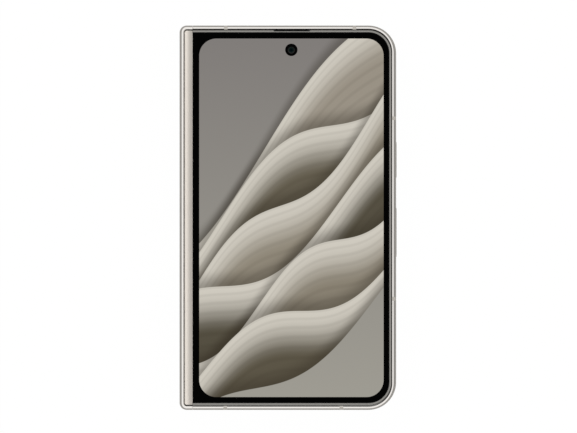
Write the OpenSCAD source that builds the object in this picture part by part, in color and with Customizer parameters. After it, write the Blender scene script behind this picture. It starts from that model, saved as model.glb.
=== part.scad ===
// Book-style foldable smartphone, closed and lying on its back with the cover display up.
// +Z goes up through the stack, +Y to the top edge and +X away from the hinge.
// Origin: middle of the body's plan, in the plane of the camera bar's lowest face.
// Each half is drawn in its own place: x from the hinge edge, y from the middle, z inwards from its
// outer glass. Both halves hang on a spine with two parallel pivots, geared together.

/* [Body] */
// Width of the closed body, keys left out
body_w = 78.8; // [76:0.1:82]
// Height of the closed body
body_h = 139.7; // [134:0.1:146]
// Thickness of one half
half_t = 5.8; // [5.7:0.05:6.2]
// Distance between the two inner display surfaces when closed
fold_gap = 0.5; // [0.4:0.05:0.6]
// Corner radius on the side away from the hinge
corner_r = 10.1; // [8:0.1:12]
// Corner radius on the hinge side
hinge_corner_r = 2.6; // [2.2:0.1:3.2]
// Radius of the polished edge round each half
edge_r = 1.5; // [1:0.05:1.6]
// Width of the frame wall, seen from the front
rim_w = 2.5; // [2.2:0.05:2.6]
// Width of the frame's outer skin beside the inner bezel
skin_w = 1.0; // [0.8:0.05:1.2]

/* [Hinge] */
// Depth of each pivot under its inner display surface
pivot_depth = 1.85; // [1.7:0.05:1.95]
// Clearance where one body passes another
run_gap = 0.1; // [0.08:0.01:0.14]
// Wall of the hinge cover
shell_t = 0.5; // [0.4:0.05:0.55]
// Wall of the closed end of the spine
cap_wall = 1.5; // [1.2:0.1:1.8]
// Length of the geared mechanism at each end of the spine
mech_len = 5.1; // [4.8:0.1:6]
// Thickness of the hinge base's bearing plates
plate_t = 0.8; // [0.6:0.05:1]
// Thickness of the cap's lid over the gears
lid_t = 0.4; // [0.3:0.05:0.5]
// Width of a hinge arm's neck
arm_w = 1.3; // [1:0.05:1.6]
// Thickness of a hinge arm
arm_t = 0.75; // [0.6:0.05:0.8]
// Length of the foot of a hinge arm
foot_l = 8; // [7:0.5:9]
// Radius of the hinge pins
pin_r = 0.28; // [0.24:0.01:0.3]
// Radial running clearance of arms and gears on their pins
pin_gap = 0.05; // [0.03:0.01:0.07]
// Radius of the knuckle of a hinge arm
knuckle_r = 1.0; // [0.9:0.05:1.2]
// Teeth on each of the four gears
gear_teeth = 10; // [10:2:12]
// Tooth height above the pitch circle
addendum = 0.12; // [0.08:0.01:0.13]
// Tooth depth under the pitch circle
dedendum = 0.15; // [0.14:0.01:0.17]
// Play between meshing teeth
backlash = 0.03; // [0.02:0.005:0.04]

/* [Glass and displays] */
// Thickness of the outer glass on both halves
glass_t = 0.65; // [0.5:0.05:0.7]
// Joint between the glass and its frame
glass_gap = 0.05; // [0.03:0.01:0.08]
// Thickness of the cover display panel
panel_t = 0.95; // [0.8:0.05:1]
// Radius of the front camera's hole in the cover display
punch_r = 2.25; // [2:0.05:2.5]
// Distance of the front camera from the hinge edge
punch_x = 40.7; // [38:0.1:44]
// Distance of the front camera from the top edge
punch_top = 8.9; // [8.5:0.1:9.5]
// Thickness of the folding display
fold_t = 0.45; // [0.4:0.05:0.5]
// Distance from the hinge edge to where the folding display is glued down
fold_edge = 8.5; // [8.2:0.1:9.5]
// Inner radius of the folded display's loop
loop_r = 1.75; // [1.6:0.05:1.8]
// Thickness of the plate under the folding display
support_t = 0.35; // [0.3:0.05:0.35]
// Height that the inner bezel stands proud of the display
bezel_proud = 0.2; // [0.15:0.01:0.22]
// Width of the inner bezel at the side
bezel_side = 3.6; // [3.2:0.1:4]
// Thickness of the inner bezel's lip over the display
lip_t = 0.18; // [0.15:0.01:0.2]

/* [Keys and tray] */
// Distance the keys stand out of the side
key_proud = 0.35; // [0.3:0.05:0.4]
// Height of the keys through the thickness
key_h = 2.2; // [2:0.1:2.4]
// Length of the power button
power_l = 13.3; // [12:0.1:14]
// Distance of the power button's middle from the middle of the body
power_y = 21.2; // [20:0.1:22]
// Length of the volume rocker
volume_l = 18.2; // [17:0.1:19]
// Distance of the volume rocker's middle below the middle of the body
volume_down = 5.35; // [5:0.05:6]
// Clearance round the keys
key_gap = 0.12; // [0.1:0.01:0.2]
// Travel of the power button
key_travel = 0.3; // [0.2:0.05:0.3]
// Distance of the SIM tray's middle from the hinge edge
tray_x = 38; // [30:0.5:46]
// Width of the SIM tray
tray_w = 10.8; // [10.4:0.1:11.2]
// Length of the SIM tray behind its face
tray_l = 17; // [16:0.5:18]
// Thickness of the SIM tray
tray_t = 0.7; // [0.6:0.05:0.8]

/* [Camera bar] */
// Height that the bar stands proud of the rear glass
bar_proud = 1.3; // [1:0.1:1.8]
// Length of the camera bar
bar_l = 58; // [54:0.5:60]
// Height of the camera bar
bar_h = 13.6; // [13:0.1:15]
// Distance of the camera bar's middle from the top edge
bar_top = 17.8; // [17:0.1:19]
// Rounding of the camera bar's edge
bar_edge = 0.8; // [0.5:0.1:0.9]
// Length of the camera window
window_l = 41; // [40:0.5:42]
// Height of the camera window
window_h = 9.6; // [9:0.1:10]
// Thickness of the camera window
window_t = 0.6; // [0.4:0.05:0.7]

/* [Inside] */
// Thickness of the mainboard and of the sub board
board_t = 0.6; // [0.5:0.05:0.8]
// Height of the shields on the mainboard
shield_h = 1.6; // [1.2:0.1:1.8]
// Thickness of the rear battery
rear_cell_t = 2.7; // [2.4:0.05:2.75]
// Thickness of the front battery
front_cell_t = 1.95; // [1.7:0.05:2]
// Height of both batteries
cell_h = 66; // [60:0.5:68]
// Thickness of the mid plate's thin floor
floor_t = 0.4; // [0.35:0.05:0.45]
// Depth of a charging port from its mouth
port_l = 7.3; // [7:0.1:7.6]
// Width of the charging port's mouth
port_w = 8.34; // [8.3:0.01:8.4]
// Height of the charging port's mouth
port_h = 2.56; // [2.5:0.01:2.6]
// Wall of the charging port's shell
port_wall = 0.3; // [0.2:0.05:0.35]
// Radius of a screw head
screw_r = 0.7; // [0.6:0.05:0.8]
// Width of the plastic breaks in the metal frame
break_w = 1.3; // [1:0.1:1.6]
// Depth of the plastic breaks in the metal frame
break_d = 1.2; // [0.9:0.05:1.3]

/* [Hidden] */

$fn = 64;
far = 200; // longer than the body, for cutting shapes
skim = 0.01; // pushes a cut just past a face

// The stack of one half, inwards from the outer glass
half_h = body_h / 2;
z_mid = bar_proud + half_t + fold_gap / 2;
z_top = bar_proud + 2 * half_t + fold_gap;
bay_z = glass_t + glass_gap; // start of the outer bay behind the glass
display_z = half_t - fold_t; // underside of the folding display
support_z = display_z - support_t;
pivot_z = half_t - pivot_depth;
arm_z = pivot_z + 2 * run_gap; // hinge arms lie between the mid plate's floor and the support plate
floor_z = arm_z - floor_t;

// The hinge
pivot_x = pivot_depth + fold_gap / 2; // both halves meet on the spine's flat face when opened
spine_r = pivot_x;
rail_t = pivot_z - spine_r - run_gap;
cap_x = pivot_x + pivot_depth; // the end caps lie level with the opened display
cap_sweep = sqrt(2) * pivot_depth; // reach of the cap's corner about a pivot
rail_w = pivot_x + cap_sweep + run_gap;
frame_x = rail_w + run_gap; // the frame starts after a seam beside the rail
wall_t = 0.8; // wall that closes each half beside the spine
bay_x = frame_x + wall_t + run_gap;
mech_out = half_h - cap_wall;
mech_in = mech_out - mech_len;
panel_h = mech_in - 0.25; // half the height of the folding display
arm_y = mech_in + plate_t + run_gap;
gear_y = arm_y + arm_w;
gear_l = mech_out - plate_t - run_gap - gear_y;
pitch_r = pivot_x / 3; // four equal gears fill the distance between the pivots
pressure = 25;
base_r = pitch_r * cos(pressure);

// Keys
key_z = edge_r + key_gap + key_h / 2 + 0.7;
key_in = rim_w - 0.4; // the keys reach this deep into the wall
key_pocket = rim_w - 1.15; // depth of the pocket that holds a key's flange
key_bay = 1.3; // space for the key flex behind the wall
volume_y = -volume_down;
key_span = [volume_y - volume_l / 2 - 2, power_y + power_l / 2 + 2];

// Things that share a place
bay_r = corner_r - rim_w;
bar_y = half_h - bar_top;
bar_x = body_w / 2;
port_z = half_t / 2;
port_x = body_w / 2;
punch_y = half_h - punch_top;
inner_cam_x = body_w - 14.5;
inner_cam_y = panel_h + 2.3;
mid_z = half_t + fold_gap / 2; // middle of the closed fold, from either outer glass

// Frames, bezels and the folding display
ledge_w = 1; // ledge under the outer glass
rail_in = half_h - rim_w - glass_gap;
wall_end = rail_in - ledge_w - 0.05;
bezel_seat = 2.0; // width of the bezel that grips the display
panel_r = corner_r - skin_w - bezel_seat;
loop_steps = 24;
arm_slot = pivot_x - 3 * run_gap - arm_t; // the lid over the gears is open outside this height

// Cable that crosses the hinge, against the inside of the hinge cover
cable_y = [22, 34];
cable_t = 0.12;
cable_r = spine_r - shell_t - 0.04;
cable_z = mid_z - pivot_x - cable_r;

// Cameras: the window lies off the bar's middle, with the flash beside it
window_dx = -0.112 * bar_l;
window_z = -bar_proud + 0.12;
flash_dx = 0.345 * bar_l;
flash_r = 2.2;
bar_bay = glass_t + 0.45; // behind the bar's flange
// Each lens: its place, and its module's width, as shares of the window's length, then its radius
// and its module's height as shares of the window's height
lenses = [[-0.322, 0.278, 0.354, 1.146], [-0.0244, 0.234, 0.323, 1.04], [0.2805, 0.293, 0.323, 1.094]];

// Batteries and boards
cell_x = bay_x + 4.2; // left edge of both batteries
cell_w = body_w - cell_x - rim_w - 4.3;
cell_y = -half_h + 25.85 + cell_h / 2; // middle of both batteries
cell_low = cell_y - cell_h / 2 - 1.5;
board_low = cell_y + cell_h / 2 + 1.5;
board_high = bar_y - bar_h / 2 - 0.7;
board_x = [bay_x + 0.6, body_w - rim_w - key_bay - 0.3];
board_w = board_x[1] - board_x[0];
notch_x = [bay_x + 8.4, body_w - 2]; // round notches at the sub board's corners
notch_r = 7;
board_mic = [0.38 * body_w, -rail_in + 5, 0.9]; // place and radius of the sub board's sound hole
can_t = 0.2; // sheet of the shields
coil_t = min(0.25, floor_z - rear_cell_t - bay_z - 0.02);
coil_turns = 8;
coil_pitch = cell_w / 52;
coil_in = 0.18 * cell_w; // inner radius of the charging coil
magnet_l = 18;
magnet_w = 2.4;
magnet_y = 0.6 * half_h;
magnet_floor = 0.3; // left under each magnet

// Sound
hole_r = 0.6; // sound holes in the frame
hole_step = 2;
mic_r = 0.4;
speaker_x = port_x + port_w / 2 + 3.43; // first sound hole beside the charging port
speaker_w = body_w / 4;
vent_x = bay_x + 14.7; // first sound hole of the upper speaker
low_row = -half_h + 14.85; // middle of the speaker's membrane and of the haptic motor
membrane = [0.7 * speaker_w, 7, 2.5]; // length, width and corner radius
haptic_size = [15, 9];
earpiece_x = body_w / 2 + 1.5;
earpiece_w = 13.9;
ear_u = 1.35; // the earpiece slot starts this far from the top edge
ear_h = 0.85;

// SIM tray
tray_z = floor_z - board_t - 0.05 - tray_t - 0.3; // tray plate, outer side
tray_face = 1.1;
tray_face_w = tray_w + 2.2;
tray_face_h = 1.9;
card_w = 8.9;
card_l = 12.4;

module rear() {
  translate([-body_w / 2, 0, bar_proud]) children();
}

module front() {
  translate([-body_w / 2, 0, z_top]) mirror([0, 0, 1]) children();
}

// Spine's own place: x from the hinge edge, z from the middle between the pivots
module spine() {
  translate([-body_w / 2, 0, z_mid]) children();
}

module both_ends() {
  children();
  mirror([0, 1, 0]) children();
}

// Stretch of a profile in x and z along y
module along_y(from, to) {
  translate([0, to, 0]) rotate([90, 0, 0]) linear_extrude(to - from) children();
}

module block(x, y, z) {
  translate([x[0], y[0], z[0]]) cube([x[1] - x[0], y[1] - y[0], z[1] - z[0]]);
}

module rounded_square(w, h, r) {
  square([w - 2 * r, h], center = true);
  square([w, h - 2 * r], center = true);
  for (x = [-1, 1], y = [-1, 1]) translate([x * (w / 2 - r), y * (h / 2 - r)]) circle(r);
}

module stadium(w, h) {
  square([w - h, h], center = true);
  for (s = [-1, 1]) translate([s * (w - h) / 2, 0]) circle(h / 2);
}

// Plate with square corners at the hinge and round ones away from it
module half_plate(x, h, r, z) {
  translate([0, 0, z[0]]) linear_extrude(z[1] - z[0]) {
    translate([x[0], -h]) square([x[1] - x[0] - r, 2 * h]);
    translate([x[0], -h + r]) square([x[1] - x[0], 2 * (h - r)]);
    for (s = [-1, 1]) translate([x[1] - r, s * (h - r)]) circle(r);
  }
}

// Sweeps a profile, drawn at x <= 0 with its outer side on the axis, round three sides of a half
module u_sweep(x_from, x_to, h, r) {
  for (s = [0, 1]) mirror([0, s, 0]) {
    translate([x_from, h, 0]) rotate([90, 0, 90]) linear_extrude(x_to - r - x_from) children();
    translate([x_to - r, h - r, 0]) rotate_extrude(angle = 90) translate([r, 0]) children();
  }
  translate([x_to, h - r, 0]) rotate([90, 0, 0]) linear_extrude(2 * (h - r)) children();
}

// Wall section of a half: rounded outside, flat inside
module edge_profile(depth, t) {
  difference() {
    translate([-depth, 0]) square([depth, t]);
    difference() {
      translate([-edge_r, -skim]) square([edge_r + skim, edge_r + skim]);
      translate([-edge_r, edge_r]) circle(edge_r);
    }
  }
}

module wall_profile() {
  difference() {
    edge_profile(rim_w, half_t);
    translate([-rim_w - skim, display_z - 0.05]) square([rim_w - skin_w + skim, far]);
  }
  // Ledges that carry the glass and the mid plate
  translate([-rim_w - ledge_w, bay_z]) square([ledge_w + skim, 0.4]);
  translate([-rim_w - 0.8, floor_z - 0.45]) square([0.8 + skim, 0.4]);
}

function break_places() = [
  // [x, y, turn] on the top, the bottom and the side
  [0.2145 * body_w, half_h, 0], [0.807 * body_w, half_h, 0],
  [0.212 * body_w, -half_h, 180], [0.7475 * body_w, -half_h, 180],
  [body_w, 0.5175 * half_h, -90], [body_w, -0.4215 * half_h, -90]
];

module frame_breaks(grow = 0) {
  for (p = break_places())
    translate([p[0], p[1], 0]) rotate(p[2]) translate([-break_w / 2 - grow, 0, 0])
      rotate([90, 0, 90]) linear_extrude(break_w + 2 * grow) children();
}

module half_frame() {
  difference() {
    u_sweep(frame_x, body_w, half_h, corner_r) wall_profile();
    frame_breaks() translate([-break_d, -skim]) square([break_d + skim, half_t + 2 * skim]);
  }
}

module antenna_breaks() {
  frame_breaks(-0.01) intersection() {
    wall_profile();
    translate([-break_d + 0.01, 0]) square([break_d, half_t]);
  }
}

// Rail beside the spine, with the wall that closes the half
module hinge_rail() {
  difference() {
    union() {
      translate([rail_w, 0, 0]) mirror([1, 0, 0])
        u_sweep(0, rail_w - run_gap, half_h, hinge_corner_r) edge_profile(edge_r + 0.3, rail_t);
      block([run_gap + edge_r, rail_w], [-half_h + edge_r, half_h - edge_r], [0, rail_t]);
      block([rail_w - skim, bay_x + 1.5], [-wall_end, wall_end], [bay_z, rail_t]);
      block([frame_x, frame_x + wall_t], [-wall_end, wall_end], [rail_t - skim, floor_z + 0.35]);
    }
    // Passage for the cable that crosses the hinge
    block([rail_w, bay_x], [cable_y[0] - 0.3, cable_y[1] + 0.3], [cable_z - 0.25, cable_z + 0.5]);
  }
}

// Plate that carries everything in a half: a thin floor near the hinge, thick beyond
module mid_plate(notches) {
  difference() {
    half_plate([bay_x, body_w - rim_w - glass_gap], rail_in, bay_r, [floor_z, support_z - 0.02]);
    // The floor stays thin beside the fold and under the feet of the hinge arms
    block([0, fold_edge], [-far, far], [arm_z, far]);
    both_ends() block([0, bay_x + foot_l + 0.2], [arm_y - 0.8, gear_y + 1], [arm_z, far]);
    // Pockets for the magnets
    for (s = [-1, 1]) magnet_place(s) linear_extrude(far) rounded_square(magnet_w + 0.2, magnet_l + 0.2, 0.6);
    // Window that saves weight, opposite the battery
    translate([cell_x + cell_w / 2, cell_y, floor_z - skim]) linear_extrude(far)
      rounded_square(cell_w - 12, cell_h - 14, 4);
    for (p = screw_places()) translate([p[0], p[1], 0]) cylinder(r = screw_r / 2, h = far);
    notches_of(notches);
  }
}

module magnet_place(s) {
  translate([body_w - rim_w - 3.2, s * magnet_y, floor_z + magnet_floor]) children();
}

module magnets() {
  for (s = [-1, 1]) magnet_place(s) linear_extrude(support_z - floor_z - magnet_floor - 0.05)
    rounded_square(magnet_w, magnet_l, 0.5);
}

// Cuts [x range, y range] through the mid plate
module notches_of(list) {
  for (n = list) block(n[0], n[1], [0, far]);
}

function screw_places() = [for (s = [-1, 1], x = [2, foot_l - 1.4]) [bay_x + x, s * (arm_y + arm_w / 2)]];

module screws() {
  for (p = screw_places()) translate([p[0], p[1], 0]) {
    translate([0, 0, floor_z]) cylinder(r = screw_r / 2 - 0.02, h = arm_z + arm_t - floor_z - 0.3);
    difference() {
      translate([0, 0, arm_z + arm_t - 0.35]) cylinder(r = screw_r, h = 0.3);
      translate([0, 0, arm_z + arm_t - 0.2]) linear_extrude(1) square([0.25, 0.9], center = true);
    }
  }
}

// Length of the folded display's surface from one glued edge to the other
function loop_length(c) =
  let (x = fold_edge, h = fold_gap / 2, d = norm([x - c, h]), a = atan2(h, x - c) + acos(loop_r / d))
  2 * (sqrt(d * d - loop_r * loop_r) + loop_r * (180 - a) * PI / 180);

// The loop's middle, found so that the strip keeps its length when opened flat
function loop_middle(low = 0, high = 6, turns = 30) =
  turns == 0 ? (low + high) / 2 :
  let (c = (low + high) / 2)
  loop_length(c) > 2 * fold_edge ? loop_middle(c, high, turns - 1) : loop_middle(low, c, turns - 1);

// One side of the folded strip: a straight, an arc of radius r and a straight
function loop_line(r, h) =
  let (c = loop_middle(), x = fold_edge, d = norm([x - c, h]), a = atan2(h, x - c) + acos(r / d))
  [[x, h], for (i = [0:loop_steps]) let (b = a + (360 - 2 * a) * i / loop_steps) [c + r * cos(b), r * sin(b)],
    [x, -h]];
function backwards(line) = [for (i = [len(line) - 1:-1:0]) line[i]];

// One side of the cable: out of one half, round the inside of the spine and into the other
function cable_line(r) = [
  [bay_x + 0.8, pivot_x + r],
  for (s = [1, -1], i = [0:8]) let (b = (s > 0 ? 90 : 180) + 90 * i / 8)
    [pivot_x + r * cos(b), s * pivot_x + r * sin(b)],
  [bay_x + 0.8, -pivot_x - r]
];

// Outline of the spine, cut off where the halves reach past it
module spine_outline(r) {
  for (s = [-1, 1]) translate([pivot_x, s * pivot_x]) circle(r);
  translate([pivot_x - r, -pivot_x]) square([2 * r, 2 * pivot_x]);
}

// Plan of the spine with the body's rounded corners
module spine_plan() {
  translate([0, 0, -half_t * 2]) linear_extrude(half_t * 4) {
    translate([hinge_corner_r, -half_h]) square([far, body_h]);
    translate([0, -half_h + hinge_corner_r]) square([far, body_h - 2 * hinge_corner_r]);
    for (s = [-1, 1]) translate([hinge_corner_r, s * (half_h - hinge_corner_r)]) circle(hinge_corner_r);
  }
}

// Involute of the base circle: the flank's turn at a radius, in degrees
function flank(r) = r <= base_r ? 0 : tan(acos(base_r / r)) * 180 / PI - acos(base_r / r);

function half_tooth(r) =
  90 / gear_teeth - backlash / 2 / pitch_r * 180 / PI + flank(pitch_r) - flank(r);

module gear_outline(turn) {
  root_r = pitch_r - dedendum;
  tip_r = pitch_r + addendum;
  radii = [root_r, base_r, (base_r + pitch_r) / 2, pitch_r, (pitch_r + tip_r) / 2, tip_r];
  n = len(radii);
  rotate(turn) polygon([
    for (i = [0:gear_teeth - 1], k = [0:2 * n - 1])
      let (j = k < n ? k : 2 * n - 1 - k, side = k < n ? -1 : 1)
      let (a = i * 360 / gear_teeth + side * half_tooth(radii[j]))
      radii[j] * [cos(a), sin(a)]
  ]);
}

// Gear number 0 to 3, counted from the rear pivot; its neighbours are turned by half a tooth
module train_gear(number, clear_end = 0) {
  y = -pivot_x + number * 2 * pitch_r;
  both_ends() along_y(gear_y + clear_end, gear_y + gear_l) translate([pivot_x, y]) difference() {
    gear_outline(90 + (number % 2) * 180 / gear_teeth);
    circle(pin_r + pin_gap);
  }
}

// Arm with its knuckle, in the place of a half
module hinge_arms() {
  neck_end = bay_x + 0.4;
  both_ends() {
    difference() {
      union() {
        along_y(arm_y, gear_y) difference() {
          union() {
            translate([pivot_x, pivot_z]) circle(knuckle_r);
            translate([pivot_x, arm_z]) square([neck_end - pivot_x, arm_t]);
          }
          translate([pivot_x, pivot_z]) circle(pin_r + pin_gap);
        }
        block([bay_x + 0.2, bay_x + foot_l], [arm_y - 0.7, gear_y + 0.9], [arm_z, arm_z + arm_t]);
      }
      for (p = screw_places()) translate([p[0], abs(p[1]), 0]) {
        cylinder(r = screw_r / 2, h = far);
        translate([0, 0, arm_z + arm_t - 0.37]) cylinder(r = screw_r + 0.02, h = 1);
      }
    }
  }
}

module bezel(holes) {
  z0 = display_z;
  out_h = half_h - skin_w - run_gap / 2;
  difference() {
    half_plate([cap_x + 0.45, body_w - skin_w - run_gap / 2], out_h, corner_r - skin_w - run_gap / 2,
      [z0, half_t + bezel_proud]);
    // Seat of the display under the lip, and the view through the lip
    half_plate([-1, body_w - skin_w - bezel_seat], panel_h + 0.05, corner_r - skin_w - bezel_seat,
      [z0 - 1, half_t + bezel_proud - lip_t]);
    half_plate([-1, body_w - skin_w - bezel_side], panel_h - 1.2, corner_r - skin_w - bezel_side, [0, far]);
    for (h = holes) translate([h[0], h[1], 0]) cylinder(r = h[2], h = far);
  }
}

module rigid_display() {
  half_plate([fold_edge, body_w - skin_w - bezel_seat - 0.05], panel_h, panel_r - 0.05, [display_z, half_t]);
}

module support_plate() {
  half_plate([fold_edge, body_w - rim_w - 0.1], panel_h, bay_r - 0.1, [support_z, display_z]);
}

// Hole through the top wall (side 1) or the bottom wall (side -1)
module edge_hole(x, side, r, z = port_z) {
  translate([x, side * (half_h - rim_w - 2), z]) rotate([-side * 90, 0, 0]) cylinder(r = r, h = rim_w + 3);
}

// ---- Rear half ----

module rear_frame() {
  color("#b9b1a6") rear() difference() {
    half_frame();
    // Slots for the keys, and the pockets that hold their flanges
    for (k = [[power_y, power_l], [volume_y, volume_l]])
      translate([body_w, k[0], key_z]) rotate([0, -90, 0]) {
        translate([0, 0, -1]) linear_extrude(5)
          stadium_up(key_h + 2 * key_gap, k[1] + 2 * key_gap);
        translate([0, 0, key_pocket]) linear_extrude(4) stadium_up(key_h + 0.7, k[1] + 1.6);
      }
    // Mouth of the charging port
    translate([port_x, -half_h + rim_w + 2, port_z]) rotate([90, 0, 0])
      linear_extrude(far) stadium(port_w + 2 * port_wall + 0.1, port_h + 2 * port_wall + 0.1);
    // Sound holes and microphones
    for (i = [0:5]) edge_hole(speaker_x + i * hole_step, -1, hole_r);
    for (i = [0:3]) edge_hole(vent_x + i * hole_step, 1, hole_r);
    for (x = [body_w / 3, body_w - 14]) edge_hole(x, -1, mic_r);
    rocker_pin_shape(0);
    // Room for the key flex behind the wall
    block([body_w - rim_w - key_bay, body_w - rim_w], key_span, [bay_z + 0.5, far]);
  }
}

module stadium_up(w, h) {
  rotate(90) stadium(h, w);
}

module rear_hinge_rail() {
  color("#c9c0b4") rear() hinge_rail();
}

module rear_mid_plate() {
  color("#8f9194") rear() difference() {
    mid_plate([
      [[body_w - rim_w - key_bay, far], key_span],
      [[port_x - 6, port_x + 6], [-far, -half_h + port_l + 2.5]]
    ]);
    inner_camera_place() cylinder(r = 1.95, h = far);
  }
}

module rear_glass() {
  color("#d8d2c6") rear() difference() {
    half_plate([rail_w + glass_gap, body_w - rim_w - glass_gap], rail_in, bay_r - glass_gap, [0, glass_t]);
    translate([bar_x, bar_y, -1]) linear_extrude(3) stadium(bar_l + 2 * glass_gap, bar_h + 2 * glass_gap);
  }
}

// Sweeps a profile, drawn at x <= 0, round a stadium
module stadium_sweep(w, h) {
  for (s = [0, 1]) rotate(s * 180) {
    translate([(w - h) / 2, 0, 0]) rotate(-90) rotate_extrude(angle = 180) translate([h / 2, 0]) children();
    translate([-(w - h) / 2, h / 2, 0]) rotate([90, 0, 90]) linear_extrude(w - h) children();
  }
}

module bar_edge_profile() {
  side = 1.2;
  difference() {
    translate([-side, -bar_proud]) square([side, bar_proud + glass_t + 0.35]);
    difference() {
      translate([-bar_edge, -bar_proud - skim]) square([bar_edge + skim, bar_edge + skim]);
      translate([-bar_edge, -bar_proud + bar_edge]) circle(bar_edge);
    }
  }
  // Flange behind the glass
  translate([-side, glass_t + 0.02]) square([side + 0.9, 0.33]);
}

function lens_x(n) = window_dx + lenses[n][0] * window_l;
function lens_r(n) = lenses[n][2] * window_h;

module camera_bar() {
  color("#b9b1a6") rear() translate([bar_x, bar_y, 0]) difference() {
    union() {
      stadium_sweep(bar_l, bar_h) bar_edge_profile();
      translate([0, 0, -bar_proud]) linear_extrude(bar_proud) stadium(bar_l - 2, bar_h - 2);
    }
    translate([window_dx, 0, window_z - 1]) linear_extrude(window_t + 1)
      stadium(window_l + 2 * glass_gap, window_h + 2 * glass_gap);
    for (n = [0:2]) translate([lens_x(n), 0, -3]) cylinder(r = lens_r(n) + 0.25, h = 5);
    translate([flash_dx, 0, -3]) cylinder(r = flash_r + 0.1, h = 5);
    translate([flash_dx + 2 * flash_r, 0, -3]) cylinder(r = mic_r, h = 5);
  }
}

module camera_window() {
  color("#0c0d0e") rear() translate([bar_x + window_dx, bar_y, window_z])
    linear_extrude(window_t) stadium(window_l, window_h);
}

// Camera number n, counted from the left: a block with its barrel under the window
module camera_module(n) {
  z = window_z + window_t + 0.02;
  r = lens_r(n);
  size = [lenses[n][1] * window_l, lenses[n][3] * window_h];
  color("#1b1c1f") rear() translate([bar_x + lens_x(n), bar_y, 0]) {
    difference() {
      translate([0, 0, z]) cylinder(r = r, h = bar_bay + 1 - z);
      translate([0, 0, z - 1]) cylinder(r1 = 0.8 * r + 0.6, r2 = 0.45 * r, h = 1.9);
    }
    translate([0, 0, z + 0.6]) cylinder(r = 0.48 * r, h = 0.6);
    block([-size[0] / 2, size[0] / 2], [-size[1] / 2, size[1] / 2], [bar_bay, floor_z - 0.05]);
  }
}

module main_camera() {
  camera_module(0);
}

module ultrawide_camera() {
  camera_module(1);
}

module telephoto_camera() {
  camera_module(2);
}

module camera_flash() {
  color("#efe6c8") rear() translate([bar_x + flash_dx, bar_y, -bar_proud + 0.15]) {
    cylinder(r = flash_r, h = 0.8);
    cylinder(r = flash_r - 0.8, h = bar_proud + floor_z - 0.2);
  }
}

module mainboard() {
  color("#1f4a35") rear() difference() {
    block(board_x, [board_low, board_high], [floor_z - board_t, floor_z]);
    translate([board_x[1] - 0.175 * board_w, board_low, 0]) cylinder(r = 3, h = far);
    for (x = [2.4, 0.4625 * board_w])
      translate([board_x[0] + x, board_low + 3, 0]) cylinder(r = 0.9, h = far);
  }
}

module board_shields() {
  z = floor_z - board_t - shield_h;
  // Each can's start and width as shares of the board, and its distance from the board's lower edge
  color("#c3c6c9") rear() for (s = [[0.038, 0.35, 4], [0.42, 0.249, 4], [0.698, 0.234, 6.5]]) {
    x = board_x[0] + s[0] * board_w;
    w = s[1] * board_w;
    y = board_low + s[2];
    difference() {
      block([x, x + w], [y, board_high - 1], [z, floor_z - board_t]);
      block([x + can_t, x + w - can_t], [y + can_t, board_high - 1 - can_t], [z + can_t, far]);
    }
  }
}

module battery(t) {
  translate([cell_x + cell_w / 2, cell_y, floor_z - t]) {
    linear_extrude(t) rounded_square(cell_w, cell_h, 1.2);
    // Folded edge of the pouch
    translate([0, cell_h / 2 + 0.4, t - 0.5]) cube([cell_w / 3, 1.2, 0.5], center = true);
  }
}

module rear_battery() {
  color("#26282c") rear() battery(rear_cell_t);
}

module wireless_coil() {
  color("#b5713a") rear() translate([cell_x + cell_w / 2, cell_y, bay_z]) linear_extrude(coil_t) {
    for (i = [0:coil_turns - 1]) difference() {
      circle(coil_in + (i + 0.75) * coil_pitch);
      circle(coil_in + i * coil_pitch);
    }
    // Lead that joins the turns
    translate([-0.4, coil_in + 0.1]) square([0.8, (coil_turns - 0.3) * coil_pitch]);
  }
}

module usb_c_port() {
  mouth = -half_h + 0.35;
  color("#a9abad") rear() translate([port_x, mouth, port_z]) {
    rotate([-90, 0, 0]) difference() {
      linear_extrude(port_l) stadium(port_w + 2 * port_wall, port_h + 2 * port_wall);
      translate([0, 0, -1]) linear_extrude(port_l) stadium(port_w, port_h);
    }
    // Tongue with its contacts
    block([-0.4 * port_w, 0.4 * port_w], [1.2, port_l - 0.5], [-0.35, 0.35]);
  }
}

module bottom_speaker() {
  color("#2b2c2f") rear() {
    difference() {
      block([speaker_x - 2, speaker_x - 2 + speaker_w], [-wall_end, cell_low], [bay_z, floor_z - 0.05]);
      translate([speaker_x - 2 + speaker_w / 2, low_row, 0]) linear_extrude(bay_z + 0.5)
        rounded_square(membrane[0], membrane[1], membrane[2]);
    }
    // Duct to the sound holes
    block([speaker_x - 0.8, speaker_x + 5 * hole_step + 0.8], [-rail_in, -wall_end + skim],
      [bay_z + 0.5, floor_z - 0.55]);
  }
}

module top_speaker() {
  color("#2b2c2f") rear() {
    block([vent_x - 3, vent_x + 11], [bar_y + bar_h / 2 + 1, rail_in - 0.9], [bay_z + 0.4, floor_z - 0.05]);
    block([vent_x - 1, vent_x + 3 * hole_step + 1], [rail_in - 1, rail_in - 0.05],
      [bay_z + 0.5, floor_z - 0.55]);
  }
}

module haptic_motor() {
  color("#9b9da0") rear() translate([bay_x + 5.7 + haptic_size[0] / 2, low_row, bay_z + 0.05])
    linear_extrude(floor_z - bay_z - 0.1) rounded_square(haptic_size[0], haptic_size[1], 2);
}

module key_flex() {
  x = body_w - rim_w - 0.75;
  color("#c08a3e") rear() {
    // Strip on edge against the mid plate's notch, with a switch behind each key
    block([x - 0.2, x], [volume_y - volume_l / 2, power_y + power_l / 2], [key_z - 1.3, key_z + 1.2]);
    for (y = [power_y, volume_y - 6, volume_y + 6])
      translate([x, y, key_z]) rotate([0, 90, 0]) cylinder(r = 1, h = 0.3);
    block([x - key_bay + 0.75, x - 0.2], [power_y - 3, power_y + 3], [floor_z - 0.5, floor_z - 0.3]);
  }
}

module rocker_pin_shape(r_less) {
  translate([body_w - 1.1, volume_y, key_z - key_h / 2 - 0.75]) cylinder(r = 0.3 - r_less, h = key_h + 1.5);
}

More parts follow.
